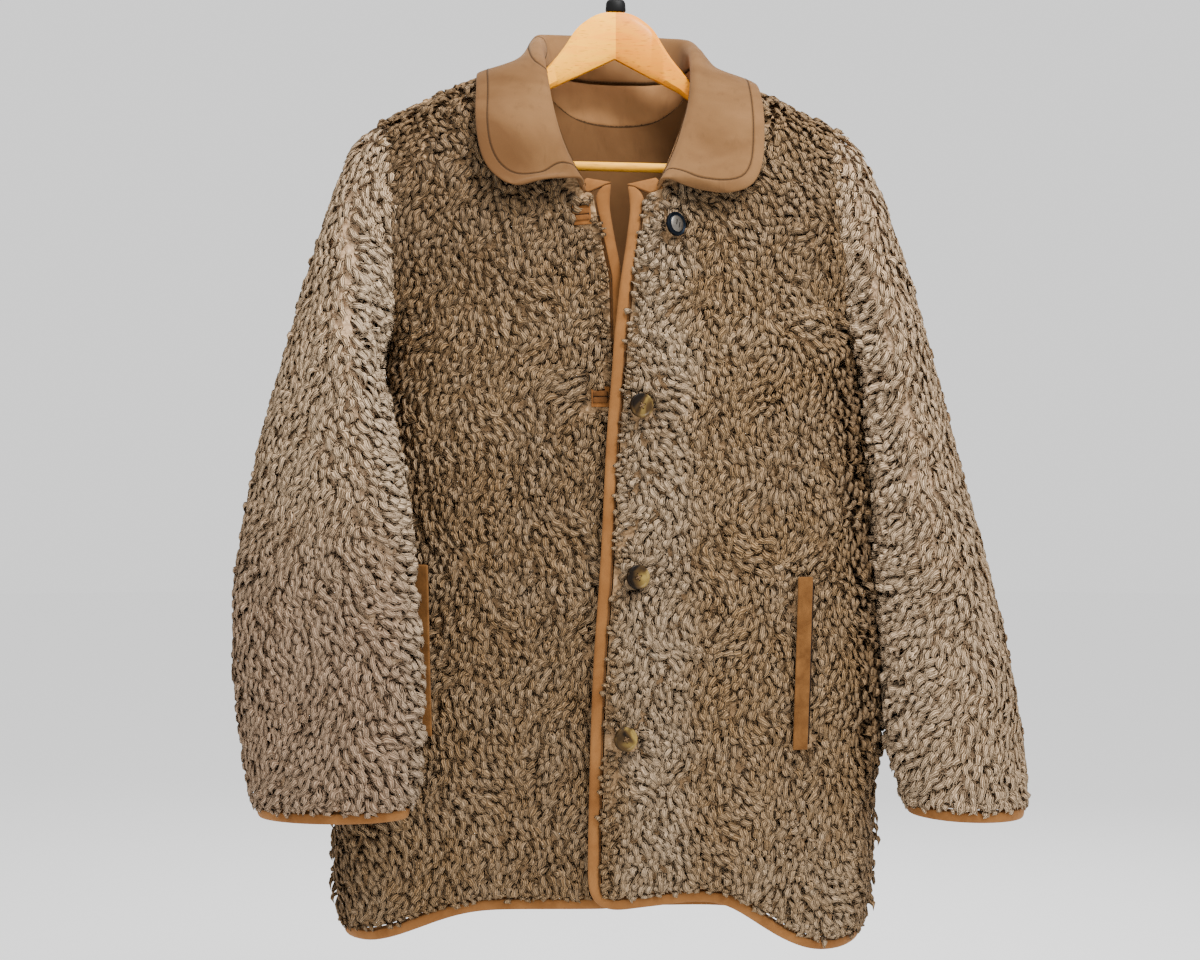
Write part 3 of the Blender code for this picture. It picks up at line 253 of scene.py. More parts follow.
class Finish:
    """A procedural material and a few short ways to wire it."""

    def __init__(self, name):
        self.material = bpy.data.materials.new(name)
        self.material.use_nodes = True
        self.tree = self.material.node_tree
        self.shader = self.tree.nodes["Principled BSDF"]
        self.place = self.add("ShaderNodeTexCoord").outputs["Object"]

    def feed(self, socket, value):
        """Links another node's output to a socket, or sets the socket's own value."""
        if isinstance(value, bpy.types.NodeSocket):
            self.tree.links.new(value, socket)
        else:
            socket.default_value = (*value, 1) if socket.type == "RGBA" else value

    def add(self, kind, inputs=(), **settings):
        node = self.tree.nodes.new(kind)
        for key, value in settings.items():
            setattr(node, key, value)
        for key, value in dict(inputs).items():
            self.feed(node.inputs[key], value)
        return node

    def set(self, **values):
        """Feeds the shader's own inputs."""
        for key, value in values.items():
            self.feed(self.shader.inputs[key.replace("_", " ")], value)

    def mapped(self, scale=(1, 1, 1), turn=(0, 0, 0)):
        inputs = {"Vector": self.place, "Scale": scale, "Rotation": turn}
        return self.add("ShaderNodeMapping", inputs).outputs["Vector"]

    def noise(self, scale, detail=2.0, rough=0.5, vector=None, distortion=0.0):
        inputs = {"Vector": vector or self.place, "Scale": scale, "Detail": detail}
        inputs |= {"Roughness": rough, "Distortion": distortion}
        return self.add("ShaderNodeTexNoise", inputs).outputs["Fac"]

    def attribute(self, name):
        return self.add("ShaderNodeAttribute", attribute_name=name).outputs["Fac"]

    def ramp(self, value, *stops):
        """A colour ramp, each stop (position, colour)."""
        node = self.add("ShaderNodeValToRGB", {"Fac": value})
        elements = node.color_ramp.elements
        while len(elements) < len(stops):
            elements.new(0.5)
        for element, (position, colour) in zip(elements, stops):
            element.position = position
            element.color = (*colour, 1)
        return node.outputs["Color"]

    def spread(self, value, low, high, to_low=0.0, to_high=1.0):
        inputs = {"Value": value, "From Min": low, "From Max": high, "To Min": to_low, "To Max": to_high}
        return self.add("ShaderNodeMapRange", inputs).outputs["Result"]

    def mix(self, amount, first, second, blend="MIX"):
        sockets = {0: amount, 6: first, 7: second}
        return self.add("ShaderNodeMix", sockets, data_type="RGBA", blend_type=blend).outputs[2]

    def maths(self, operation, first, second=0.0):
        return self.add("ShaderNodeMath", {0: first, 1: second}, operation=operation).outputs[0]

    def tint(self, grain, colour, dark):
        """The colour, darker by this factor where the grain is low."""
        self.set(Base_Color=self.ramp(grain, (0.3, times(colour, dark)), (0.7, colour)))

    def bump(self, *layers):
        """Bump layers, each (height, distance in metres, strength)."""
        last = {}
        for height, distance, strength in layers:
            inputs = {"Height": height, "Distance": distance, "Strength": strength}
            last = {"Normal": self.add("ShaderNodeBump", inputs | last).outputs["Normal"]}
        self.set(**last)


def times(colour, by):
    return tuple(c * by for c in colour)


def curly_fleece(name, root, middle, tip):
    """Wool curls: painted shade at the root and down each side, pale on the crown, with strands along each.
    """
    f = Finish(name)
    along, across = f.attribute("along"), f.attribute("across")
    # Painted shade: the root takes the dark of the crevices between curls
    tone = f.ramp(along, (0.05, root), (0.35, middle), (0.85, tip))
    # Two or three strands run the length of a curl and wander a little across it
    phase = f.maths("ADD", f.maths("MULTIPLY", across, 9.0), f.maths("MULTIPLY", f.noise(55), 24.0))
    strand = f.maths("SINE", phase)
    tone = f.mix(f.spread(strand, -0.9, 0.5, 1.0, 0.0), tone, root)
    # Painted shade down each side of a curl, a dark line where curls meet
    tone = f.mix(f.spread(f.maths("ABSOLUTE", across), 0.7, 1.0, 0.0, 0.3), tone, root)
    # pale is the curls' own tone and, along the sleeves' inner edges, painted highlight; rosy is a painted
    # pink reflection; shade is painted shade with some tone of its own
    tone = f.mix(f.attribute("pale"), tone, (0.70, 0.53, 0.355))
    tone = f.mix(f.attribute("rosy"), tone, (0.32, 0.19, 0.14))
    tone = f.mix(f.attribute("shade"), tone, (0.10, 0.053, 0.022))
    f.set(Base_Color=tone, Roughness=0.85, Specular_IOR_Level=0.12)
    f.set(Sheen_Weight=0.08, Sheen_Roughness=0.6, Sheen_Tint=(0.95, 0.78, 0.58))
    f.bump((strand, 0.9 * MM, 1.0), (f.noise(900, 2.0, 0.6), 0.4 * MM, 0.35))
    return f.material


def fleece_ground(name, light, dark):
    """The cloth under the curls, seen only between them: shorter curls, with painted shade round each."""
    f = Finish(name)
    wander = f.add("ShaderNodeTexNoise", {"Vector": f.place, "Scale": 60}).outputs["Color"]
    slight = f.add("ShaderNodeVectorMath", {0: wander, "Scale": 0.012}, operation="SCALE").outputs[0]
    moved = f.add("ShaderNodeVectorMath", {0: f.place, 1: slight}, operation="ADD").outputs[0]
    distance = f.add("ShaderNodeTexVoronoi", {"Vector": moved, "Scale": 175}).outputs["Distance"]
    grain = f.noise(900, 3.0, 0.6)
    # Painted shade: each short curl darkens towards its rim, as in the crevices between curls
    tone = f.ramp(distance, (0.05, light), (0.55, dark))
    tone = f.mix(f.spread(grain, 0.3, 0.7, 0.0, 0.4), tone, (0.8, 0.7, 0.6), "OVERLAY")
    f.set(Base_Color=tone, Roughness=0.95, Specular_IOR_Level=0.1)
    f.bump((f.maths("SUBTRACT", 1.0, distance), 4.0 * MM, 0.9), (grain, 0.6 * MM, 0.5))
    return f.material


def suede(name, dark, light, cloud=14.0, stitched=None):
    """Brushed suede: a short nap that lies lighter and darker in patches.

    stitched is how far in from its edge a row of stitches draws the suede down."""
    f = Finish(name)
    patches = f.noise(cloud, 4.0, 0.6, distortion=0.4)
    tone = f.ramp(patches, (0.34, dark), (0.68, light))
    nap = f.noise(1500, 2.0, 0.7)
    tone = f.mix(f.spread(nap, 0.3, 0.7, 0.0, 0.3), tone, (0.85, 0.66, 0.46), "OVERLAY")
    streaks = f.noise(120, 3.0, 0.6, f.mapped(scale=(1.0, 1.0, 0.25)))
    tone = f.mix(f.spread(streaks, 0.56, 0.72, 0.0, 0.2), tone, times(dark, 0.55))
    layers = [(nap, 0.25 * MM, 0.5), (patches, 3.0 * MM, 0.12), (streaks, 0.4 * MM, 0.25)]
    if stitched:
        inward = f.attribute("from_edge")
        off = f.maths("ABSOLUTE", f.maths("SUBTRACT", inward, stitched))
        # The dark line along the stitches: their thread's colour and painted shade in the groove that they
        # draw down
        tone = f.mix(f.spread(off, 0.2 * MM, 1.1 * MM, 0.75, 0.0), tone, times(dark, 0.3))
        tone = f.mix(f.spread(inward, 0.0, 1.5 * MM, 0.3, 0.0), tone, times(light, 1.5))
        layers.append((f.spread(off, 0.0, 1.6 * MM), 1.2 * MM, 0.9))
    f.set(Base_Color=tone, Roughness=f.spread(patches, 0.3, 0.7, 0.92, 0.8), Specular_IOR_Level=0.1)
    f.set(Sheen_Weight=0.1, Sheen_Roughness=0.45, Sheen_Tint=(1.0, 0.78, 0.55))
    f.bump(*layers)
    return f.material


def beech(name, light, dark, shaded_beyond_x=None):
    """Lacquered beech: faint long grain with short flecks, and painted shade over the arm that lies beyond a
    given x, the one turned from the light.
    """
    f = Finish(name)
    figure = f.noise(26, 3.0, 0.55, f.mapped(scale=(1, 6, 6)), 0.8)
    tone = f.ramp(figure, (0.3, dark), (0.7, light))
    flecks = f.noise(420, 1.0, 0.4, f.mapped(scale=(0.28, 1.6, 1.6)))
    tone = f.mix(f.spread(flecks, 0.60, 0.74, 0.0, 0.6), tone, times(dark, 0.55))
    if shaded_beyond_x is not None:
        # Painted shade: past that x the wood is darkened, for the arm whose face is turned from the light
        split = f.add("ShaderNodeSeparateXYZ", {0: f.place})
        side = f.maths("GREATER_THAN", split.outputs["X"], shaded_beyond_x)
        tone = f.mix(side, tone, f.mix(1.0, tone, (0.74, 0.60, 0.50), "MULTIPLY"))
    f.set(Base_Color=tone, Roughness=f.spread(figure, 0.3, 0.7, 0.34, 0.42))
    f.set(Coat_Weight=0.05, Coat_Roughness=0.22, Specular_IOR_Level=0.12)
    f.bump((flecks, 0.12 * MM, 0.3))
    return f.material


def horn():
    """Polished horn: clouds of its own from nearly black to olive and honey, with painted shade on each
    button's left side and painted light on its right.
    """
    f = Finish("polished horn")
    clouds = f.noise(45, 2.0, 0.5, f.mapped(turn=(0, 0.6, 0)), 0.6)
    # Painted shade and light: the side attribute darkens each button's left and lightens its right
    streaks = f.maths("ADD", clouds, f.maths("MULTIPLY", f.attribute("side"), 0.13))
    black, brown, honey = (0.006, 0.003, 0.001), (0.05, 0.027, 0.008), (0.24, 0.16, 0.04)
    f.set(Base_Color=f.ramp(streaks, (0.42, black), (0.52, brown), (0.62, honey)))
    f.set(Roughness=f.spread(streaks, 0.3, 0.7, 0.3, 0.42), Specular_IOR_Level=0.12)
    f.bump((streaks, 0.2 * MM, 0.2))
    return f.material


def metal(name, colour, rough, scratch):
    f = Finish(name)
    worn = f.noise(90, 4.0, 0.6)
    f.tint(worn, colour, 0.72)
    f.set(Roughness=f.spread(worn, 0.3, 0.7, rough, rough + scratch), Metallic=1.0)
    f.bump((f.noise(1600, 2.0, 0.6), 0.05 * MM, 0.15))
    return f.material


def plain_plastic(name, colour, rough):
    f = Finish(name)
    grain = f.noise(1200, 2.0, 0.6)
    f.tint(grain, colour, 0.8)
    f.set(Roughness=f.spread(grain, 0.3, 0.7, rough, rough + 0.1), Specular_IOR_Level=0.15)
    f.bump((grain, 0.05 * MM, 0.2))
    return f.material


def thread(name, colour):
    f = Finish(name)
    ply = f.noise(2400, 2.0, 0.6)
    f.tint(ply, colour, 0.6)
    f.set(Roughness=0.9, Specular_IOR_Level=0.1)
    f.bump((ply, 0.1 * MM, 0.4))
    return f.material


BODY_FLEECE = curly_fleece("body fleece", (0.125, 0.067, 0.026), (0.37, 0.215, 0.092), (0.56, 0.345, 0.158))
SLEEVE_FLEECE = curly_fleece("sleeve fleece", (0.24, 0.14, 0.068), (0.68, 0.455, 0.26), (0.97, 0.70, 0.44))
BODY_GROUND = fleece_ground("body ground", (0.38, 0.25, 0.135), (0.24, 0.15, 0.078))
SLEEVE_GROUND = fleece_ground("sleeve ground", (0.55, 0.40, 0.26), (0.38, 0.26, 0.16))
COLLAR_SUEDE = suede("collar suede", (0.080, 0.038, 0.014), (0.165, 0.088, 0.036), 9.0, COLLAR_STITCH)
BINDING_SUEDE = suede("binding suede", (0.145, 0.060, 0.017), (0.225, 0.103, 0.033), 22.0, BINDING_STITCH)
INSIDE_SUEDE = suede("inside suede", (0.085, 0.040, 0.015), (0.135, 0.068, 0.027), 10.0)
STAND_SUEDE = suede("stand suede", (0.13, 0.062, 0.024), (0.22, 0.115, 0.047), 10.0)
# Painted shade: the buttonhole lips are a darker suede, as sunk in the fleece
SHADED_LIP_SUEDE = suede("shaded lip suede", (0.055, 0.022, 0.006), (0.15, 0.06, 0.016), 60.0)
BUTTONHOLE_PLATE = suede("buttonhole plate", (0.07, 0.027, 0.007), (0.20, 0.08, 0.020), 60.0)
WELT_SUEDE = suede("welt suede", (0.09, 0.038, 0.010), (0.155, 0.070, 0.020), 60.0)
# Painted shade: a near black for the insides of slits and pocket mouths
SLIT_SHADE = plain_plastic("slit", (0.012, 0.006, 0.003), 0.9)
# The arms carry painted shade on the arm at positive x
ARM_WOOD = beech("beech arms", (1.0, 0.47, 0.015), (1.0, 0.37, 0.01), 0.0)
BAR_WOOD = beech("beech bar", (0.95, 0.46, 0.03), (0.75, 0.33, 0.02))
HORN = horn()
BUTTON_METAL = metal("old silver", (0.20, 0.18, 0.155), 0.38, 0.15)
RIM_METAL = metal("blued rim", (0.012, 0.016, 0.023), 0.4, 0.15)
HOOK_WIRE = metal("bright wire", (0.70, 0.70, 0.70), 0.2, 0.1)
BLACK_CAP = plain_plastic("black cap", (0.002, 0.002, 0.002), 0.5)
TAN_THREAD = thread("tan thread", (0.15, 0.09, 0.045))
DARK_THREAD = thread("dark thread", (0.05, 0.026, 0.012))
SEAM_THREAD = thread("seam thread", (0.055, 0.028, 0.011))


# ---- cloth


def inner_sheet(node, name, heart):
    """The inner side of a CAD wall alone, turned to face outwards."""
    piece = merged_copy(node, name)
    edit(piece, "EDGE")
    bpy.ops.mesh.select_all(action="DESELECT")
    bpy.ops.mesh.edges_select_sharp(sharpness=math.radians(RIM_ANGLE))
    bpy.ops.mesh.edge_split(type="EDGE")
    bpy.ops.mesh.select_all(action="SELECT")
    bpy.ops.mesh.separate(type="LOOSE")
    done()
    parts = [o for o in bpy.context.selected_objects if o.type == "MESH"]
    parts.sort(key=lambda part: -sum(face.area for face in part.data.polygons))

    def faces_away(part):
        return sum(face.area * (face.center - heart).dot(face.normal) for face in part.data.polygons)

    inner = min(parts[:2], key=faces_away)
    for part in parts:
        if part != inner:
            bpy.data.objects.remove(part)
    edit(named(inner, name))
    bpy.ops.mesh.flip_normals()
    done()
    return inner


def crease(piece, creases):
    """Pushes a piece's points about each of these places, as (place, reach, push)."""
    edit(piece, "VERT")
    for place, reach, push in creases:
        middle = Vector(place)
        near = min(piece.data.vertices, key=lambda v: (v.co - middle).length).index
        pick(piece.data.vertices, lambda v, near=near: v.index == near)
        bpy.ops.transform.translate(
            value=push,
            use_proportional_edit=True,
            proportional_edit_falloff="SMOOTH",
            proportional_size=reach,
            use_proportional_connected=True,
        )
    done()


def back_with_suede(piece, ground):
    """Gives the cloth its thickness, fleece ground outside and on its edges, suede inside."""
    count = len(piece.data.polygons)
    dress(piece, ground, INSIDE_SUEDE)
    modify(piece, "SOLIDIFY", thickness=CLOTH_THICK, offset=1.0, use_even_offset=True)
    for index, face in enumerate(piece.data.polygons):
        face.material_index = 1 if count <= index < 2 * count else 0
    smooth(piece, 50)


# ---- curls

RING_POINTS = 3
FIRST_RING = (1.4, 3.1, 1.0)  # a curl's radius at its root, in mm, thin along it and wide across
LOCK_STEPS = {  # each curl's (length, pitch, sideways, swell) from ring to ring, in mm and degrees
    "hooked": ((3.4, 32, 0.8, 1.2), (5.2, 38, 2.4, 1.05), (5.2, 22, -1.0, 0.82), (5.0, 18, -3.0, 0.4)),
    "swept left": ((3.4, 32, -0.8, 1.2), (5.4, 40, -2.6, 1.05), (5.4, 18, -0.4, 0.82), (5.0, 14, 3.2, 0.4)),
    "swept right": ((3.4, 32, 0.8, 1.2), (5.4, 40, 2.6, 1.05), (5.4, 18, 0.4, 0.82), (5.0, 14, -3.2, 0.4)),
    "waved": ((3.2, 36, 1.6, 1.2), (5.4, 38, -2.4, 1.05), (5.4, 16, -1.8, 0.82), (5.0, 10, 3.2, 0.4)),
    "tight": ((4.0, 20, 0.3, 1.25), (4.6, 40, 2.4, 1.05), (4.4, 30, 0.2, 0.85), (4.0, 30, -3.0, 0.45)),
    "long": ((3.4, 38, 0.2, 1.15), (6.0, 36, 1.6, 1.05), (6.2, 14, 0.8, 0.82), (5.6, 6, -2.6, 0.4)),
}


def model_lock(name, steps):
    """One curl, drawn out ring by ring from its root: out of the cloth, then over along +X."""
    circle = bpy.ops.mesh.primitive_circle_add
    lock = fresh(name, circle, vertices=RING_POINTS, radius=1.0, fill_type="NGON", rotation=(0, 0, QUARTER))
    edit(lock)
    bpy.ops.transform.resize(value=FIRST_RING)
    place, pitch = Vector((0, 0, 0)), 0.0
    for length, turn, sideways, swell in steps:
        pitch += math.radians(turn)
        step = Vector((math.sin(pitch) * length, sideways, math.cos(pitch) * length))
        bpy.ops.mesh.extrude_region_move(TRANSFORM_OT_translate={"value": step})
        place += step
        bpy.ops.transform.rotate(value=math.radians(turn), orient_axis="Y", center_override=place)
        bpy.ops.transform.resize(value=(swell,) * 3, center_override=place)
    bpy.ops.mesh.merge(type="CENTER")
    bpy.ops.mesh.select_all(action="SELECT")
    bpy.ops.mesh.normals_make_consistent(inside=False)
    done()
    return lock


def model_locks():
    """The curls as (points, faces, how far along each point lies, how far across)."""
    locks = []
    for name, steps in LOCK_STEPS.items():
        points, faces = taken_apart(model_lock("curl " + name, steps))
        # The rings were drawn out in order, and the last one is merged into the tip
        rings = points[:-1, 1].reshape(-1, RING_POINTS)
        off = rings - rings.mean(1, keepdims=True)
        across = np.append(off / np.abs(off).max(1, keepdims=True), 0)
        along = np.append(np.repeat(np.arange(len(rings)), RING_POINTS) / len(rings), 1)
        locks.append((points * MM, faces, along, across))
    return locks


LOCKS = model_locks()
CURL_SPACING = 4.65 * MM
TRIES = 5  # places tried for each square of that side
CURL_SUNK = 1.0 * MM  # how deep a curl's root stands in the cloth
TRIMMED = (4 * MM, 16 * MM)  # the fleece is shortest this near its bindings, and full length this far off
TRIMMED_TO = 0.35
COLLAR_CLEARED = 6 * MM
PARTED = (1 * MM, 8 * MM)  # curls part fully this near to what lies in the fleece, and not this far off
SAME_SIDE = 0.03  # nor do they where it lies further off than this, front to back


def spots_on(piece):
    """Evenly strewn places on a surface, as (points, normals), no two nearer than the spacing."""
    mesh = piece.data
    mesh.calc_loop_triangles()
    corners = points_of(mesh)
    normals = np.array([v.normal[:] for v in mesh.vertices])
    index = np.array([triangle.vertices[:] for triangle in mesh.loop_triangles])
    a, b, c = (corners[index[:, i]] for i in range(3))
    areas = norm(np.cross(b - a, c - a), axis=1) / 2
    count = int(areas.sum() / CURL_SPACING**2 * TRIES)
    chosen = RNG.choice(len(areas), count, p=areas / areas.sum())
    u, v = RNG.random(count), RNG.random(count)
    over = u + v > 1
    u[over], v[over] = 1 - u[over], 1 - v[over]
    weights = np.stack([1 - u - v, u, v], 1)
    spots = np.einsum("ni,nij->nj", weights, corners[index[chosen]])
    facing = np.einsum("ni,nij->nj", weights, normals[index[chosen]])
    cells, kept = {}, []
    for i, (x, y, z) in enumerate(np.floor(spots / CURL_SPACING).astype(int).tolist()):
        around = product((x - 1, x, x + 1), (y - 1, y, y + 1), (z - 1, z, z + 1))
        near = (j for cell in around for j in cells.get(cell, ()))
        if all(((spots[j] - spots[i]) ** 2).sum() > CURL_SPACING**2 for j in near):
            cells.setdefault((x, y, z), []).append(i)
            kept.append(i)
    facing = facing[kept]
    return spots[kept], facing / norm(facing, axis=1, keepdims=True)


def parting(spot, partings):
    """How the curls part round what lies in the fleece.

    None under it, else how near it is, from 0 to 1, and the way off it."""
    best, away = 0.0, None
    for (low, high), inset, parts in partings:
        if not low[1] - SAME_SIDE < spot[1] < high[1] + SAME_SIDE:
            continue
        middle_x, middle_z = (low[0] + high[0]) / 2, (low[2] + high[2]) / 2
        half_x, half_z = (high[0] - low[0]) / 2 - inset, (high[2] - low[2]) / 2 - inset
        off_x, off_z = spot[0] - middle_x, spot[2] - middle_z
        out_x, out_z = max(0.0, abs(off_x) - half_x), max(0.0, abs(off_z) - half_z)
        gap = math.hypot(out_x, out_z)
        if gap == 0:
            return None
        near = 1 - fade(gap, *PARTED)
        if near > best:
            best = near
            away = np.array((math.copysign(out_x, off_x), 0.0, math.copysign(out_z, off_z))) / gap * parts
    return best, away


def combed(out, angle):
    """Down along a surface that faces this way, turned by an angle."""
    down = np.array((0.0, 0.0, -1.0))
    comb = down - out * (down @ out)
    if norm(comb) <= 0.15:  # nearly level
        comb = np.cross(out, (1.0, 0, 0))
    comb /= norm(comb)
    return comb * math.cos(angle) + np.cross(out, comb) * math.sin(angle)


def turned_off(forward, out, near, away):
    """A curl's way, turned off what lies in the fleece beside it."""
    turned = forward * (1.05 - near * norm(away)) + away * near * 1.5
    turned -= out * (turned @ out)
    return turned / norm(turned)


def grown(spot, out, forward, reach, stand):
    """One curl in its place, as (points, faces, how far along, how far across)."""
    across = np.cross(out, forward)
    # Neighbouring curls mostly curl alike
    kind = round((drift(spot, 0.016, 7.0) + RNG.normal(0, 0.18) + 1) * len(LOCKS)) % len(LOCKS)
    points, faces, along, edges = LOCKS[kind]
    reach *= RNG.uniform(0.82, 1.18)
    girth = RNG.uniform(0.85, 1.2)
    tilt = RNG.normal(0, 0.16)
    up = out * math.cos(tilt) + across * math.sin(tilt)
    flip = math.copysign(1.0, drift(spot, 0.02, 13.0) + RNG.normal(0, 0.12))
    local = points * (reach, girth * flip, stand * RNG.uniform(0.85, 1.12))
    points = spot + local[:, :1] * forward + local[:, 1:2] * across + local[:, 2:] * up
    return points, faces if flip > 0 else [face[::-1] for face in faces], along, edges


def plant(name, node, panel, swirl, tint, keep=None, partings=()):
    """A panel's curls in one mesh, combed downwards with swirls, and trimmed beside its bindings."""
    edging = tree_of(*(SOLIDS[binding] for binding, bound in BOUND_TO.items() if bound == node))
    spots, facing = spots_on(panel)
    copies = []
    values = {"along": [], "across": [], "pale": [], "rosy": [], "shade": []}
    for spot, out in zip(spots + facing * (CLOTH_THICK - CURL_SUNK), facing):
        if keep and not keep(spot):
            continue
        bend, reach, stand = swirl(spot, out)
        forward = combed(out, bend + RNG.normal(0, 0.2))
        parted = parting(spot, partings)
        if parted is None:
            continue
        near, away = parted
        if near > 0:
            forward = turned_off(forward, out, near, away)
        reach *= TRIMMED_TO + (1 - TRIMMED_TO) * fade(edging.find_nearest(Vector(spot))[3], *TRIMMED)
        points, faces, along, across = grown(spot, out, forward, reach, stand)
        copies.append((points, faces))
        pale, rosy, shade = tint(spot, out)
        shade = max(shade, 0.6 * near)
        for parts, value in zip(values.values(), (along, across, pale, rosy, shade)):
            parts.append(np.broadcast_to(value, len(points)))
    pile = piece_of(name, copies)
    for key, parts in values.items():
        give_value(pile, key, np.concatenate(parts))
    return pile


# ---- coat

BODY_CLOTH = ("pile", BODY_GROUND, BODY_FLEECE)
SLEEVE_CLOTH = ("sleeve pile", SLEEVE_GROUND, SLEEVE_FLEECE)
HEART = Vector((0, 0, -0.55))  # inside the body, behind both fronts and before the back
BOUND_TO = {  # each binding, and the panel that it edges
    "front_binding_right": "front_right",
    "front_binding_left": "front_left",
    "neck_binding_right": "front_right",
    "neck_binding_left": "front_left",
    "back_hem_binding": "back",
    "cuff_binding_right": "sleeve_right",
    "cuff_binding_left": "sleeve_left",
}
WELTS = {"pocket_welt_right": -1, "pocket_welt_left": 1}  # each with its side of the coat
HORN_BUTTONS = ("button_2", "button_3", "button_4")
BUTTONHOLES = ("buttonhole_1", "buttonhole_2", "buttonhole_3", "buttonhole_4")
SET_INTO_FLEECE = {  # how far the fleece comes in over its edge, and how far it parts round it
    "button_1": (2.5 * MM, 0.5),
    **dict.fromkeys(HORN_BUTTONS, (3.5 * MM, 0.3)),
    **dict.fromkeys(BUTTONHOLES, (0.5 * MM, 0.3)),
    **dict.fromkeys(WELTS, (3.0 * MM, 0.1)),
}
NECK_RISE = {  # the bound neck edges stand a little higher than on the solids: place, reach, push
    "front_right": ((-0.016, -0.09, -0.257), 0.05, (0, 0, 0.008)),
    "front_left": ((0.022, -0.10, -0.257), 0.05, (0, 0, 0.008)),
}
CREASES = (  # panel, place, reach, and push to the back
    ("front_right", (-0.20, -0.05, -0.62), 0.11, 0.004),
    ("front_right", (-0.12, -0.08, -0.86), 0.09, -0.003),
    ("front_left", (0.19, -0.06, -0.60), 0.11, 0.004),
    ("front_left", (0.10, -0.09, -0.88), 0.09, -0.003),
    ("back", (-0.14, 0.06, -0.60), 0.12, -0.006),
    ("back", (0.12, 0.06, -0.66), 0.12, -0.006),
    ("back", (0.0, 0.07, -0.80), 0.14, 0.003),
    ("sleeve_right", (-0.25, -0.07, -0.45), 0.05, 0.006),
    ("sleeve_right", (-0.22, -0.09, -0.50), 0.04, 0.005),
    ("sleeve_left", (0.27, -0.05, -0.46), 0.05, 0.006),
    ("sleeve_left", (0.24, -0.06, -0.51), 0.04, 0.005),
)
SHEETS = {  # flat width and length, and the area of the cut, in metres
    "front_right": ((0.29, 0.87), 0.205),
    "front_left": ((0.29, 0.87), 0.205),
    "back": ((0.56, 0.87), 0.415),
    "sleeve_right": ((0.40, 0.70), 0.205),
    "sleeve_left": ((0.38, 0.68), 0.175),
}


def above_hem(spot):
    """Sleeve and body press on each other down to here: 1 above, 0 below."""
    return 1 - fade(-spot[2], 0.77, 0.82)


def body_swirl(spot, out):
    """How far a curl turns, its reach, and how tall it stands."""
    turn = drift(spot, 0.075, 3.0) * 1.2 + drift(spot, 0.03, 9.0) * 1.1
    # At its sides the fleece stands up against the sleeves'
    pressed = fade(abs(out[0]), 0.6, 0.9) * fade(-spot[2], 0.30, 0.36) * above_hem(spot)
    stand = 1.0 + (1.5 if spot[0] > 0 else 0.7) * pressed
    # Along the shoulders it stands up too, and lies every way over the seam
    ridge = fade(out[2], 0.45, 0.8)
    return turn + 3.5 * ridge * drift(spot, 0.012, 21.0), 1.0 - 0.15 * pressed, stand + 0.5 * ridge


def sleeve_swirl(side):
    def swirl(spot, out):
        turn = drift(spot, 0.085, 5.0) * 0.7 + drift(spot, 0.025, 11.0) * 0.7
        # Along the sleeve's inner edge the curls lie towards the body
        inward = fade(-out[0] * side, -0.7, 1.0)
        pressed = fade(-out[0] * side, 0.5, 0.9) * above_hem(spot)
        stand = 1.05 + (1.1 if side > 0 else 0.5) * pressed
        return turn + side * (0.1 - 1.25 * inward), 1.15, stand

    return swirl


def body_tint(spot, out):
    """How pale, how rosy and how shaded a curl is, each from 0 to 1."""
    x, y, z = spot
    pale = 0.10 + 0.12 * drift(spot, 0.05, 2.0)
    if y < 0 and x > 0:  # beside the left front's edge
        pale += 0.3 * (1 - fade(abs(x - 0.035), 0.015, 0.05))
    if y < 0 and x > 0.1:  # near the left hem corner
        pale += 0.2 * fade(-z, 0.80, 0.92) * (1 - fade(abs(x - 0.17), 0.03, 0.09))
    pale += RNG.normal(0, 0.06)
    shade = 0.10 + 0.10 * drift(spot, 0.09, 6.0)
    # Painted shade high on the fronts, under the collar
    shade += 0.3 * (1 - fade(-z, 0.25, 0.36)) * (y < 0)
    # Painted shade on the wearer's right front, which lies away from the light
    shade += 0.16 * (1 - fade(x, -0.06, 0.06)) * (y < 0)  # the wearer's right front is the darker one
    # Painted shade where the body's sides turn away, behind the sleeves
    shade += 0.35 * fade(abs(out[0]), 0.55, 0.9)
    shade += RNG.normal(0, 0.05)
    return max(0.0, pale), 0.0, min(0.8, max(0.0, shade))


def sleeve_tint(side):
    """The same for a sleeve: the right one has a painted pink reflection low down, and both have a painted
    highlight along the inner edge, the right one most.
    """

    def tint(spot, out):
        z, inward = spot[2], -out[0] * side
        pale = 0.12 + 0.12 * drift(spot, 0.06, 4.0)
        # Painted highlight along the inner edge, strongest on the right sleeve, whose inner edge faces the
        # light
        pale += 0.5 * fade(inward, 0.05, 0.8) * (1 if side < 0 else 0.4)
        # Painted pink reflection low on the right sleeve, less on its inner edge
        rosy = 0.4 * fade(-z, 0.50, 0.66) * (1 - 0.7 * fade(inward, 0.2, 0.8)) * (side < 0)
        pale += RNG.normal(0, 0.06)
        shade = 0.04 + 0.08 * drift(spot, 0.08, 8.0) + RNG.normal(0, 0.04)
        shade += 0.18 * fade(-z, 0.35, 0.6) * (side < 0)
        return max(0.0, pale), rosy, max(0.0, shade)

    return tint


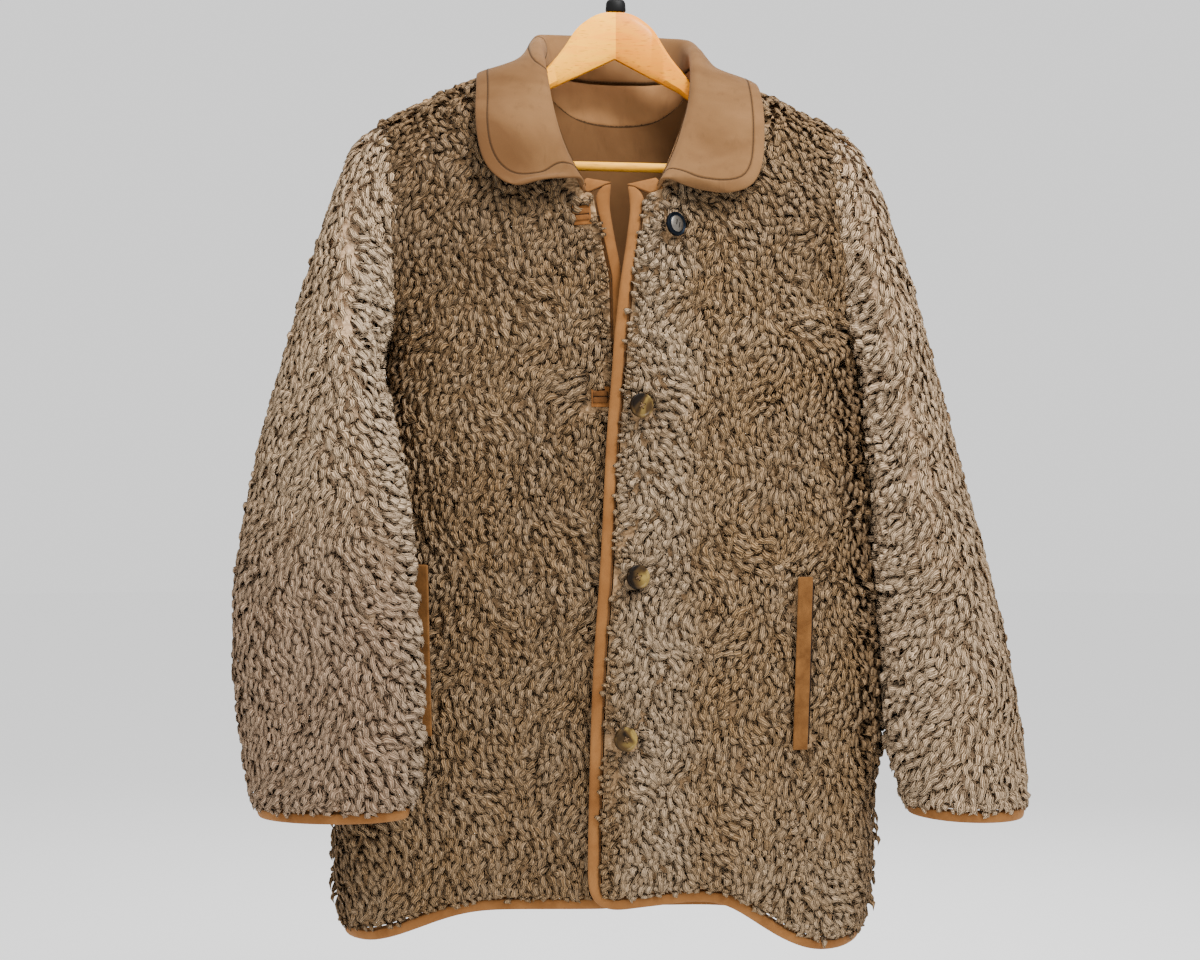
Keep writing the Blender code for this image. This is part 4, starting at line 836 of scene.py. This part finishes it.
def plant_piles(panels):
    """Each panel's pile, the back's in two halves."""
    partings = [(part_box(node), *how) for node, how in SET_INTO_FLEECE.items()]
    stand = tree_of(SOLIDS["collar_stand"])

    def clear_of_collar(spot):
        return stand.find_nearest(Vector(spot))[3] > COLLAR_CLEARED

    body, piles = (body_swirl, body_tint), {"back": []}
    for node in ("front_right", "front_left"):
        piles[node] = [plant(node + "_pile", node, panels[node], *body, clear_of_collar, partings)]
    for name, side in (("back_pile_right", -1), ("back_pile_left", 1)):

        def on_this_side(spot, side=side):
            return spot[0] * side >= 0 and clear_of_collar(spot)

        piles["back"].append(plant(name, "back", panels["back"], *body, on_this_side))
    for node, side in (("sleeve_right", -1), ("sleeve_left", 1)):
        piles[node] = [plant(node + "_pile", node, panels[node], sleeve_swirl(side), sleeve_tint(side))]
    return piles


def make_panels():
    """The two fronts, the back and the two sleeves, each a cloth with its pile."""
    panels = {}
    for node in SHEETS:
        low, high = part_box(node)
        heart = (low + high) / 2 if "sleeve" in node else HEART
        creases = [(place, reach, (0, push, 0)) for panel, place, reach, push in CREASES if panel == node]
        if node in NECK_RISE:
            creases.append(NECK_RISE[node])
        panels[node] = inner_sheet(node, node + "_cloth", heart)
        round_off(panels[node], 2)
        crease(panels[node], creases)
    piles = plant_piles(panels)
    for node, panel in panels.items():
        slot, ground, fleece = SLEEVE_CLOTH if "sleeve" in node else BODY_CLOTH
        back_with_suede(panel, ground)
        belong(panel, slot, node)
        for pile in piles[node]:
            dress(pile, fleece)
            belong(pile, slot)
    return panels, piles


def declare_sheets(panels, piles):
    for node, panel in panels.items():
        flat, area = SHEETS[node]


# ---- collar

SHORTEST_ROW = 40 * MM  # a shorter row of stitches isn't sewn
NECK_MIDDLE_Y = -0.02
FREE_OFF = 4 * MM  # the fall's free edge is further off the stand than this
FOOT_OFF = 8 * MM  # and the stand's foot off the fall


def rim_edges(node):
    """The edges of a CAD wall's rim, as pairs of points: each borders a strip as wide as the wall."""
    piece = merged_copy(node, node + "_edge")
    mesh = piece.data
    faces = {}
    for face in mesh.polygons:
        for key in face.edge_keys:
            faces.setdefault(key, []).append(face)
    found = []
    for (a, b), (one, other) in ((key, pair) for key, pair in faces.items() if len(pair) == 2):
        start, end = mesh.vertices[a].co.copy(), mesh.vertices[b].co.copy()
        # A triangle's area is half its length times its width
        widths = (face.area * (5 - len(face.vertices)) / (end - start).length for face in (one, other))
        in_strip = any(abs(width - COLLAR_THICK) < 0.25 * MM for width in widths)
        if in_strip and one.normal.angle(other.normal) > math.radians(COLLAR_RIM_ANGLE):
            found.append((start, end))
    bpy.data.objects.remove(piece)
    return found


def nearest_of(edge, tree):
    return min(tree.find_nearest(end)[3] for end in edge)


def places_along(edges):
    return [start.lerp(end, share) for start, end in edges for share in (0, 0.25, 0.5, 0.75, 1)]


def round_the_neck(places):
    """The line round the inside of the neck through those of these places nearest to its middle."""
    nearest = {}
    for place in places:
        x, y = place.x, place.y - NECK_MIDDLE_Y
        step = round(math.degrees(math.atan2(x, y)) / 3)
        radius = math.hypot(x, y)
        if step not in nearest or radius < nearest[step][0]:
            nearest[step] = (radius, place)
    line = [nearest[step][1] for step in sorted(nearest)]
    for _ in range(2):
        line = [line[0], *((a + b * 2 + c) / 4 for a, b, c in zip(line, line[1:], line[2:])), line[-1]]
    return line


def line_at(piece, values, level):
    """The lines along which a value on a piece's points has that level, as lists of points."""
    mesh = piece.data
    mesh.calc_loop_triangles()
    crossings, links = {}, {}
    for triangle in mesh.loop_triangles:
        keys = []
        for a, b in zip(triangle.vertices, (*triangle.vertices[1:], triangle.vertices[0])):
            if (values[a] < level) != (values[b] < level):
                key = (min(a, b), max(a, b))
                share = (level - values[key[0]]) / (values[key[1]] - values[key[0]])
                crossings[key] = mesh.vertices[key[0]].co.lerp(mesh.vertices[key[1]].co, share)
                keys.append(key)
        if len(keys) == 2:
            for one, other in (keys, keys[::-1]):
                links.setdefault(one, []).append(other)
    lines, seen = [], set()
    for start in sorted(links, key=lambda key: (len(links[key]), key)):
        if start in seen:
            continue
        line, ahead = [], [start]
        while ahead:
            line.append(ahead[0])
            seen.add(ahead[0])
            ahead = [key for key in links[ahead[0]] if key not in seen]
        lines.append([crossings[key] for key in line])
    return lines


def model_stitch():
    """One stitch, as points and faces: a short rounded length of thread."""
    stitch = rod("stitch", 6, 0.38 * MM, 2.7 * MM, rotation=(0, QUARTER, 0))
    ease_edges(stitch, 0.25 * MM, 1)
    return taken_apart(stitch)


def steps_along(line, pitch):
    """Evenly spaced places along a line, each with the line's direction there."""
    reached = [0.0]
    for a, b in zip(line, line[1:]):
        reached.append(reached[-1] + (b - a).length)
    if reached[-1] < SHORTEST_ROW:
        return
    at, index = pitch / 2, 0
    while at < reached[-1]:
        while reached[index + 1] < at:
            index += 1
        share = (at - reached[index]) / max(1e-9, reached[index + 1] - reached[index])
        low, high = max(0, index - 2), min(len(line) - 1, index + 3)
        yield line[index].lerp(line[index + 1], share), (line[high] - line[low]).normalized()
        at += pitch


def sew(name, lines, surface, pitch, material, turn=0.0, unevenness=0.0, thick=1.0):
    """Rows of stitches along lines on a surface, in one mesh, each turned by this angle from the line."""
    points, faces = model_stitch()
    copies = []
    for spot, along in (step for line in lines for step in steps_along(line, pitch)):
        out = surface.find_nearest(spot)[1]
        across = out.cross(along).normalized()
        up = along.cross(across)
        slant = turn + RNG.normal(0, 1) * unevenness
        along, across = (
            along * math.cos(slant) + across * math.sin(slant),
            across * math.cos(slant) - along * math.sin(slant),
        )
        stitch = points * (1 + RNG.normal(0, 0.3) * unevenness, thick, thick)
        copies.append((stitch @ np.array((along, across, up)) + np.array(spot), faces))
    piece = piece_of(name, copies)
    dress(piece, material)
    belong(piece, "collar suede")


def distances(piece, ends):
    """How far each point of a piece is from the nearest of these places."""
    places = np.array([end[:] for end in ends])
    parts = np.array_split(points_of(piece.data), 50)  # a part at a time, to save memory
    return np.concatenate([norm(part[:, None] - places, axis=2).min(1) for part in parts])


def evened(piece, values, rounds=5):
    """Values on a piece's points, each drawn towards the mean of its neighbours'."""
    ends = np.array([edge.vertices[:] for edge in piece.data.edges])
    for _ in range(rounds):
        total, count = values.copy(), np.ones(len(values))
        for a, b in (ends.T, ends.T[::-1]):
            np.add.at(total, a, values[b])
            np.add.at(count, a, 1)
        values = total / count
    return values


def make_collar():
    """Fall and stand, the fall's topstitching, the seam between them, and the overlocked neck seam."""
    fall = covering("collar_fall", "suede", COLLAR_SUEDE, "collar suede")
    stand = covering("collar_stand", "suede", STAND_SUEDE, "collar suede")
    stand_solid, fall_solid = tree_of(SOLIDS["collar_stand"]), tree_of(SOLIDS["collar_fall"])
    free, joined = [], []
    for edge in rim_edges("collar_fall"):
        (free if nearest_of(edge, stand_solid) > FREE_OFF else joined).append(edge)
    foot = [
        (start, end)
        for start, end in rim_edges("collar_stand")
        if nearest_of((start, end), fall_solid) > FOOT_OFF and abs((end - start).normalized().z) < 0.8
    ]
    inward = evened(fall, distances(fall, places_along(free)))
    give_value(fall, "from_edge", inward)
    on_fall, on_stand = tree_of(fall), tree_of(stand)
    sew("collar_topstitching", line_at(fall, inward, COLLAR_STITCH), on_fall, 3.5 * MM, DARK_THREAD)
    seam, foot = [round_the_neck(places_along(joined))], [round_the_neck(places_along(foot))]
    sew("collar_seam", seam, on_fall, 1.5 * MM, SEAM_THREAD, QUARTER, 0.15, thick=1.1)
    sew("neck_seam", foot, on_stand, 1.3 * MM, SEAM_THREAD, QUARTER - 0.3, 0.75, thick=3.0)


# ---- bindings

NECK_DRAWN_OUT = 6 * MM  # the neck bindings run on under the collar
FOLDED = (1.5 * MM, 4)  # the edges of a short folded strip
BUTTONHOLE_SUNK = 5 * MM


def lengthen(piece, by):
    """Draws a piece's end out sideways, on the side away from the coat's middle."""
    xs = [v.co.x for v in piece.data.vertices]
    side = math.copysign(1, sum(xs))
    low, high = min(x * side for x in xs), max(x * side for x in xs)
    for v in piece.data.vertices:
        v.co.x += side * by * fade(v.co.x * side, low, high)


def make_bindings():
    """The bindings, listed by the panel that they edge."""
    bindings = {panel: [] for panel in BOUND_TO.values()}
    for node, panel in BOUND_TO.items():
        neck = {"edge": FOLDED, "drawn_out": NECK_DRAWN_OUT} if node.startswith("neck") else {}
        piece = covering(node, "suede", BINDING_SUEDE, "binding suede", 60, **neck)
        if panel in NECK_RISE:
            crease(piece, [NECK_RISE[panel]])
        bound = tree_of(SOLIDS[panel])
        give_value(piece, "from_edge", [bound.find_nearest(v.co)[3] for v in piece.data.vertices])
        bindings[panel].append(piece)
    return bindings


def padded_block(name, size, material, place=(0, 0, 0), edge=0.6 * MM):
    """A block with rounded edges."""
    piece = block(name, size, place)
    ease_edges(piece, edge, 3)
    smooth(piece, 50)
    dress(piece, material)
    return piece


def make_pockets():
    """Each pocket's welt, and its mouth, a narrow strip of painted shade along the welt's outer side."""
    for node, side in WELTS.items():
        covering(node, "suede", WELT_SUEDE, "binding suede", 60, FOLDED)
        middle, _, facing = seat_of(node)
        points = points_of(SOLIDS[node].data)
        z = points[:, 2]
        rise = Vector(points[z > z.max() - 0.01].mean(0)) - Vector(points[z < z.min() + 0.01].mean(0))
        up = rise.normalized()
        across = up.cross(facing).normalized()
        mouth = padded_block(node + "_mouth", (2.4 * MM, rise.length, 2.6 * MM), SLIT_SHADE)
        turn = Matrix((across, up, across.cross(up))).transposed().to_4x4()
        sideways = across * (7.9 * MM * side * math.copysign(1, across.x))
        mouth.data.transform(Matrix.Translation(middle + sideways - facing * 0.8 * MM) @ turn)
        belong(mouth, "binding suede")


def make_buttonholes():
    """Bound buttonholes: two suede lips with painted shade meeting at a slit, a block of painted shade, sunk
    in the fleece.
    """
    lip = (14 * MM, 5.6 * MM, 3.4 * MM), SHADED_LIP_SUEDE
    plate = padded_block("plate", (17.5 * MM, 19.5 * MM, 2 * MM), BUTTONHOLE_PLATE)
    upper = padded_block("upper lip", *lip, (0, 3.1 * MM, 0.8 * MM), 1.4 * MM)
    lower = padded_block("lower lip", *lip, (0, -3.1 * MM, 0.8 * MM), 1.4 * MM)
    slit = padded_block("slit", (14.5 * MM, 2.4 * MM, 2.6 * MM), SLIT_SHADE, edge=0.3 * MM)
    take(upper, lower, slit, plate)
    bpy.ops.object.join()
    for node in BUTTONHOLES:
        middle, _, facing = seat_of(node)
        hole = placed(node + "_bound", plate.data.copy())
        seat(hole, middle - facing * BUTTONHOLE_SUNK, facing)
        belong(hole, "binding suede", node)
    bpy.data.objects.remove(plate)


# ---- buttons

HORN_THICK, METAL_THICK = 3.6 * MM, 3.4 * MM
METAL_RIM = 3.6 * MM
# Each ring of a button's face, as (width, rise) in mm, from its edge inwards
HORN_RINGS = ((1.7, 0), (1.0, -0.9), (2.6, 0.315))
METAL_RINGS = ((1.3, 0), (0.5, -1.2), (1.5, 0), (0.5, 1.4), (2.6, 0.7), (2.4, 0.3))
FOUR_HOLES = ((-2.1, -2.1), (2.1, -2.1), (2.1, 2.1), (-2.1, 2.1))  # in mm
TWO_SLOTS = (-2.1, 2.1)
HORN_ASKEW, METAL_ASKEW = 22, 38  # degrees: they hang askew on their thread


def seat_of(node, askew=0):
    """Where a button lies: its middle, its radius, and the way it faces, turned askew in degrees."""
    points = points_of(SOLIDS[node].data)
    middle = (points.max(0) + points.min(0)) / 2
    _, _, axes = np.linalg.svd(points - points.mean(0), full_matrices=False)
    facing = axes[2] * (-1 if axes[2][1] > 0 else 1)
    spread = norm((points - middle) - np.outer((points - middle) @ facing, facing), axis=1)
    return Vector(middle), spread.max(), Matrix.Rotation(math.radians(askew), 3, "Z") @ Vector(facing)


def seat(piece, middle, facing):
    """Turns a piece made flat at the origin to face that way, and puts it in its place."""
    turn = Vector((0, 0, 1)).rotation_difference(facing)
    piece.data.transform(Matrix.Translation(middle) @ turn.to_matrix().to_4x4())
    piece.data.update()


def turned_button(name, radius, thick, rings, rounding):
    """A button turned on a lathe, its edges rounded by (width, segments)."""
    button = rod(name, 48, radius, thick)
    edit(button)
    pick(button.data.polygons, lambda face: face.normal.z > 0.9)
    for width, rise in rings:
        bpy.ops.mesh.inset(thickness=width * MM, depth=rise * MM)
    done()
    ease_edges(button, *rounding, 35)
    return button


def cut(piece, cutter):
    modify(piece, "BOOLEAN", operation="DIFFERENCE", object=cutter, solver="EXACT")
    bpy.data.objects.remove(cutter)


def cross_stitch(name):
    """Thread through the four holes, one strand along each diagonal."""
    strands = []
    for x, y in FOUR_HOLES[:2]:
        turn = (0, QUARTER, math.atan2(-y, -x))
        span = 2 * math.hypot(x, y) * MM
        strand = rod("strand", 10, 0.55 * MM, span, location=(0, 0, 1.5 * MM), rotation=turn)
        ease_edges(strand, 0.3 * MM, 2)
        strands.append(strand)
    take(*strands)
    bpy.ops.object.join()
    stitch = named(bpy.context.object, name)
    smooth(stitch, 60)
    return stitch


def make_horn_buttons():
    """Dished, with four holes and their thread."""
    for node in HORN_BUTTONS:
        middle, radius, facing = seat_of(node, HORN_ASKEW)
        button = turned_button(node + "_horn", radius, HORN_THICK, HORN_RINGS, (0.7 * MM, 3))
        for x, y in FOUR_HOLES:
            cut(button, rod("drill", 16, 1.0 * MM, 9 * MM, location=(x * MM, y * MM, 0)))
        smooth(button, 35)
        stitch = cross_stitch(node + "_thread")
        for piece, material in ((button, HORN), (stitch, TAN_THREAD)):
            seat(piece, middle, facing)
            dress(piece, material)
        # side runs from the button's left to its right, for the painted shade and light
        give_value(button, "side", (points_of(button.data)[:, 0] - middle.x) / radius)
        belong(button, "horn", node)
        belong(stitch, "horn")


def make_metal_button():
    """A domed middle with two slanting slots, in a grooved dark rim."""
    middle, radius, facing = seat_of("button_1", METAL_ASKEW)
    button = turned_button("button_1_metal", radius, METAL_THICK, METAL_RINGS, (0.35 * MM, 2))
    for x in TWO_SLOTS:
        cut(button, block("slot", (1.1 * MM, 5.6 * MM, 4 * MM), (x * MM, 0, 1.2 * MM), math.radians(24)))
    smooth(button, 35)
    dress(button, BUTTON_METAL, RIM_METAL)
    for face in button.data.polygons:
        if math.hypot(face.center.x, face.center.y) > radius - METAL_RIM:
            face.material_index = 1
    seat(button, middle, facing)
    belong(button, "button metal", "button_1")


# ---- hanger


def make_hanger():
    for node, kind, material, slot, angle, edge in (
        ("hanger_arms", "beech", ARM_WOOD, "wood", 30, (1.2 * MM, 3)),
        ("hanger_bar", "beech", BAR_WOOD, "wood", 40, None),
        ("hanger_hook", "wire", HOOK_WIRE, "wire", 50, None),
        ("hook_collar", "cap", BLACK_CAP, "black plastic", 40, (0.6 * MM, 3)),
    ):
        covering(node, kind, material, slot, angle, edge, rounds=1)


# ---- studio


def make_floor():
    circle = bpy.ops.mesh.primitive_circle_add
    place = (0, 0, FLOOR_HEIGHT)
    floor = fresh("studio_floor", circle, vertices=96, radius=14, fill_type="NGON", location=place)
    f = Finish("studio paper")
    f.set(Base_Color=f.ramp(f.noise(300), (0.4, (0.96, 0.96, 0.96)), (0.6, (0.98, 0.98, 0.98))))
    f.set(Roughness=1.0, Specular_IOR_Level=0.0)
    dress(floor, f.material)


def make_light():
    world = bpy.data.worlds.new("studio air")
    bpy.context.scene.world = world
    world.use_nodes = True
    background = world.node_tree.nodes["Background"]
    background.inputs["Color"].default_value = (1.2, 1.2, 1.2, 1)
    background.inputs["Strength"].default_value = 1.0
    for name, place, size, power, aimed_at in (
        ("key", (1.4, -2.2, 1.2), 1.2, 48, -0.5),
        ("fill", (-2.0, -1.9, 0.2), 1.8, 8, -0.5),
        ("top", (0.1, -0.5, 1.5), 1.0, 20, -0.5),
        ("head", (0.35, -0.75, 0.7), 0.3, 26, -0.1),
        ("rear", (0.4, 2.4, 0.8), 2.0, 30, -0.5),
    ):
        lamp = bpy.data.lights.new(name, "AREA")
        lamp.shape = "DISK"
        lamp.size = size
        lamp.energy = power
        holder = placed(name, lamp)
        holder.location = place
        aim = Vector((0, 0, aimed_at)) - Vector(place)
        holder.rotation_euler = aim.to_track_quat("-Z", "Y").to_euler()


def make_camera():
    camera = bpy.data.cameras.new("camera")
    camera.lens = CAMERA_LENS
    camera.sensor_width = SENSOR_WIDTH
    camera.dof.use_dof = False
    holder = placed("camera", camera)
    holder.location = CAMERA_PLACE
    holder.rotation_euler = (QUARTER, 0, 0)
    bpy.context.scene.camera = holder


make_floor()
make_light()
make_camera()
PANELS, PILES = make_panels()
make_collar()
BINDINGS = make_bindings()
make_pockets()
make_buttonholes()
make_horn_buttons()
make_metal_button()
make_hanger()
declare_sheets(PANELS, PILES)
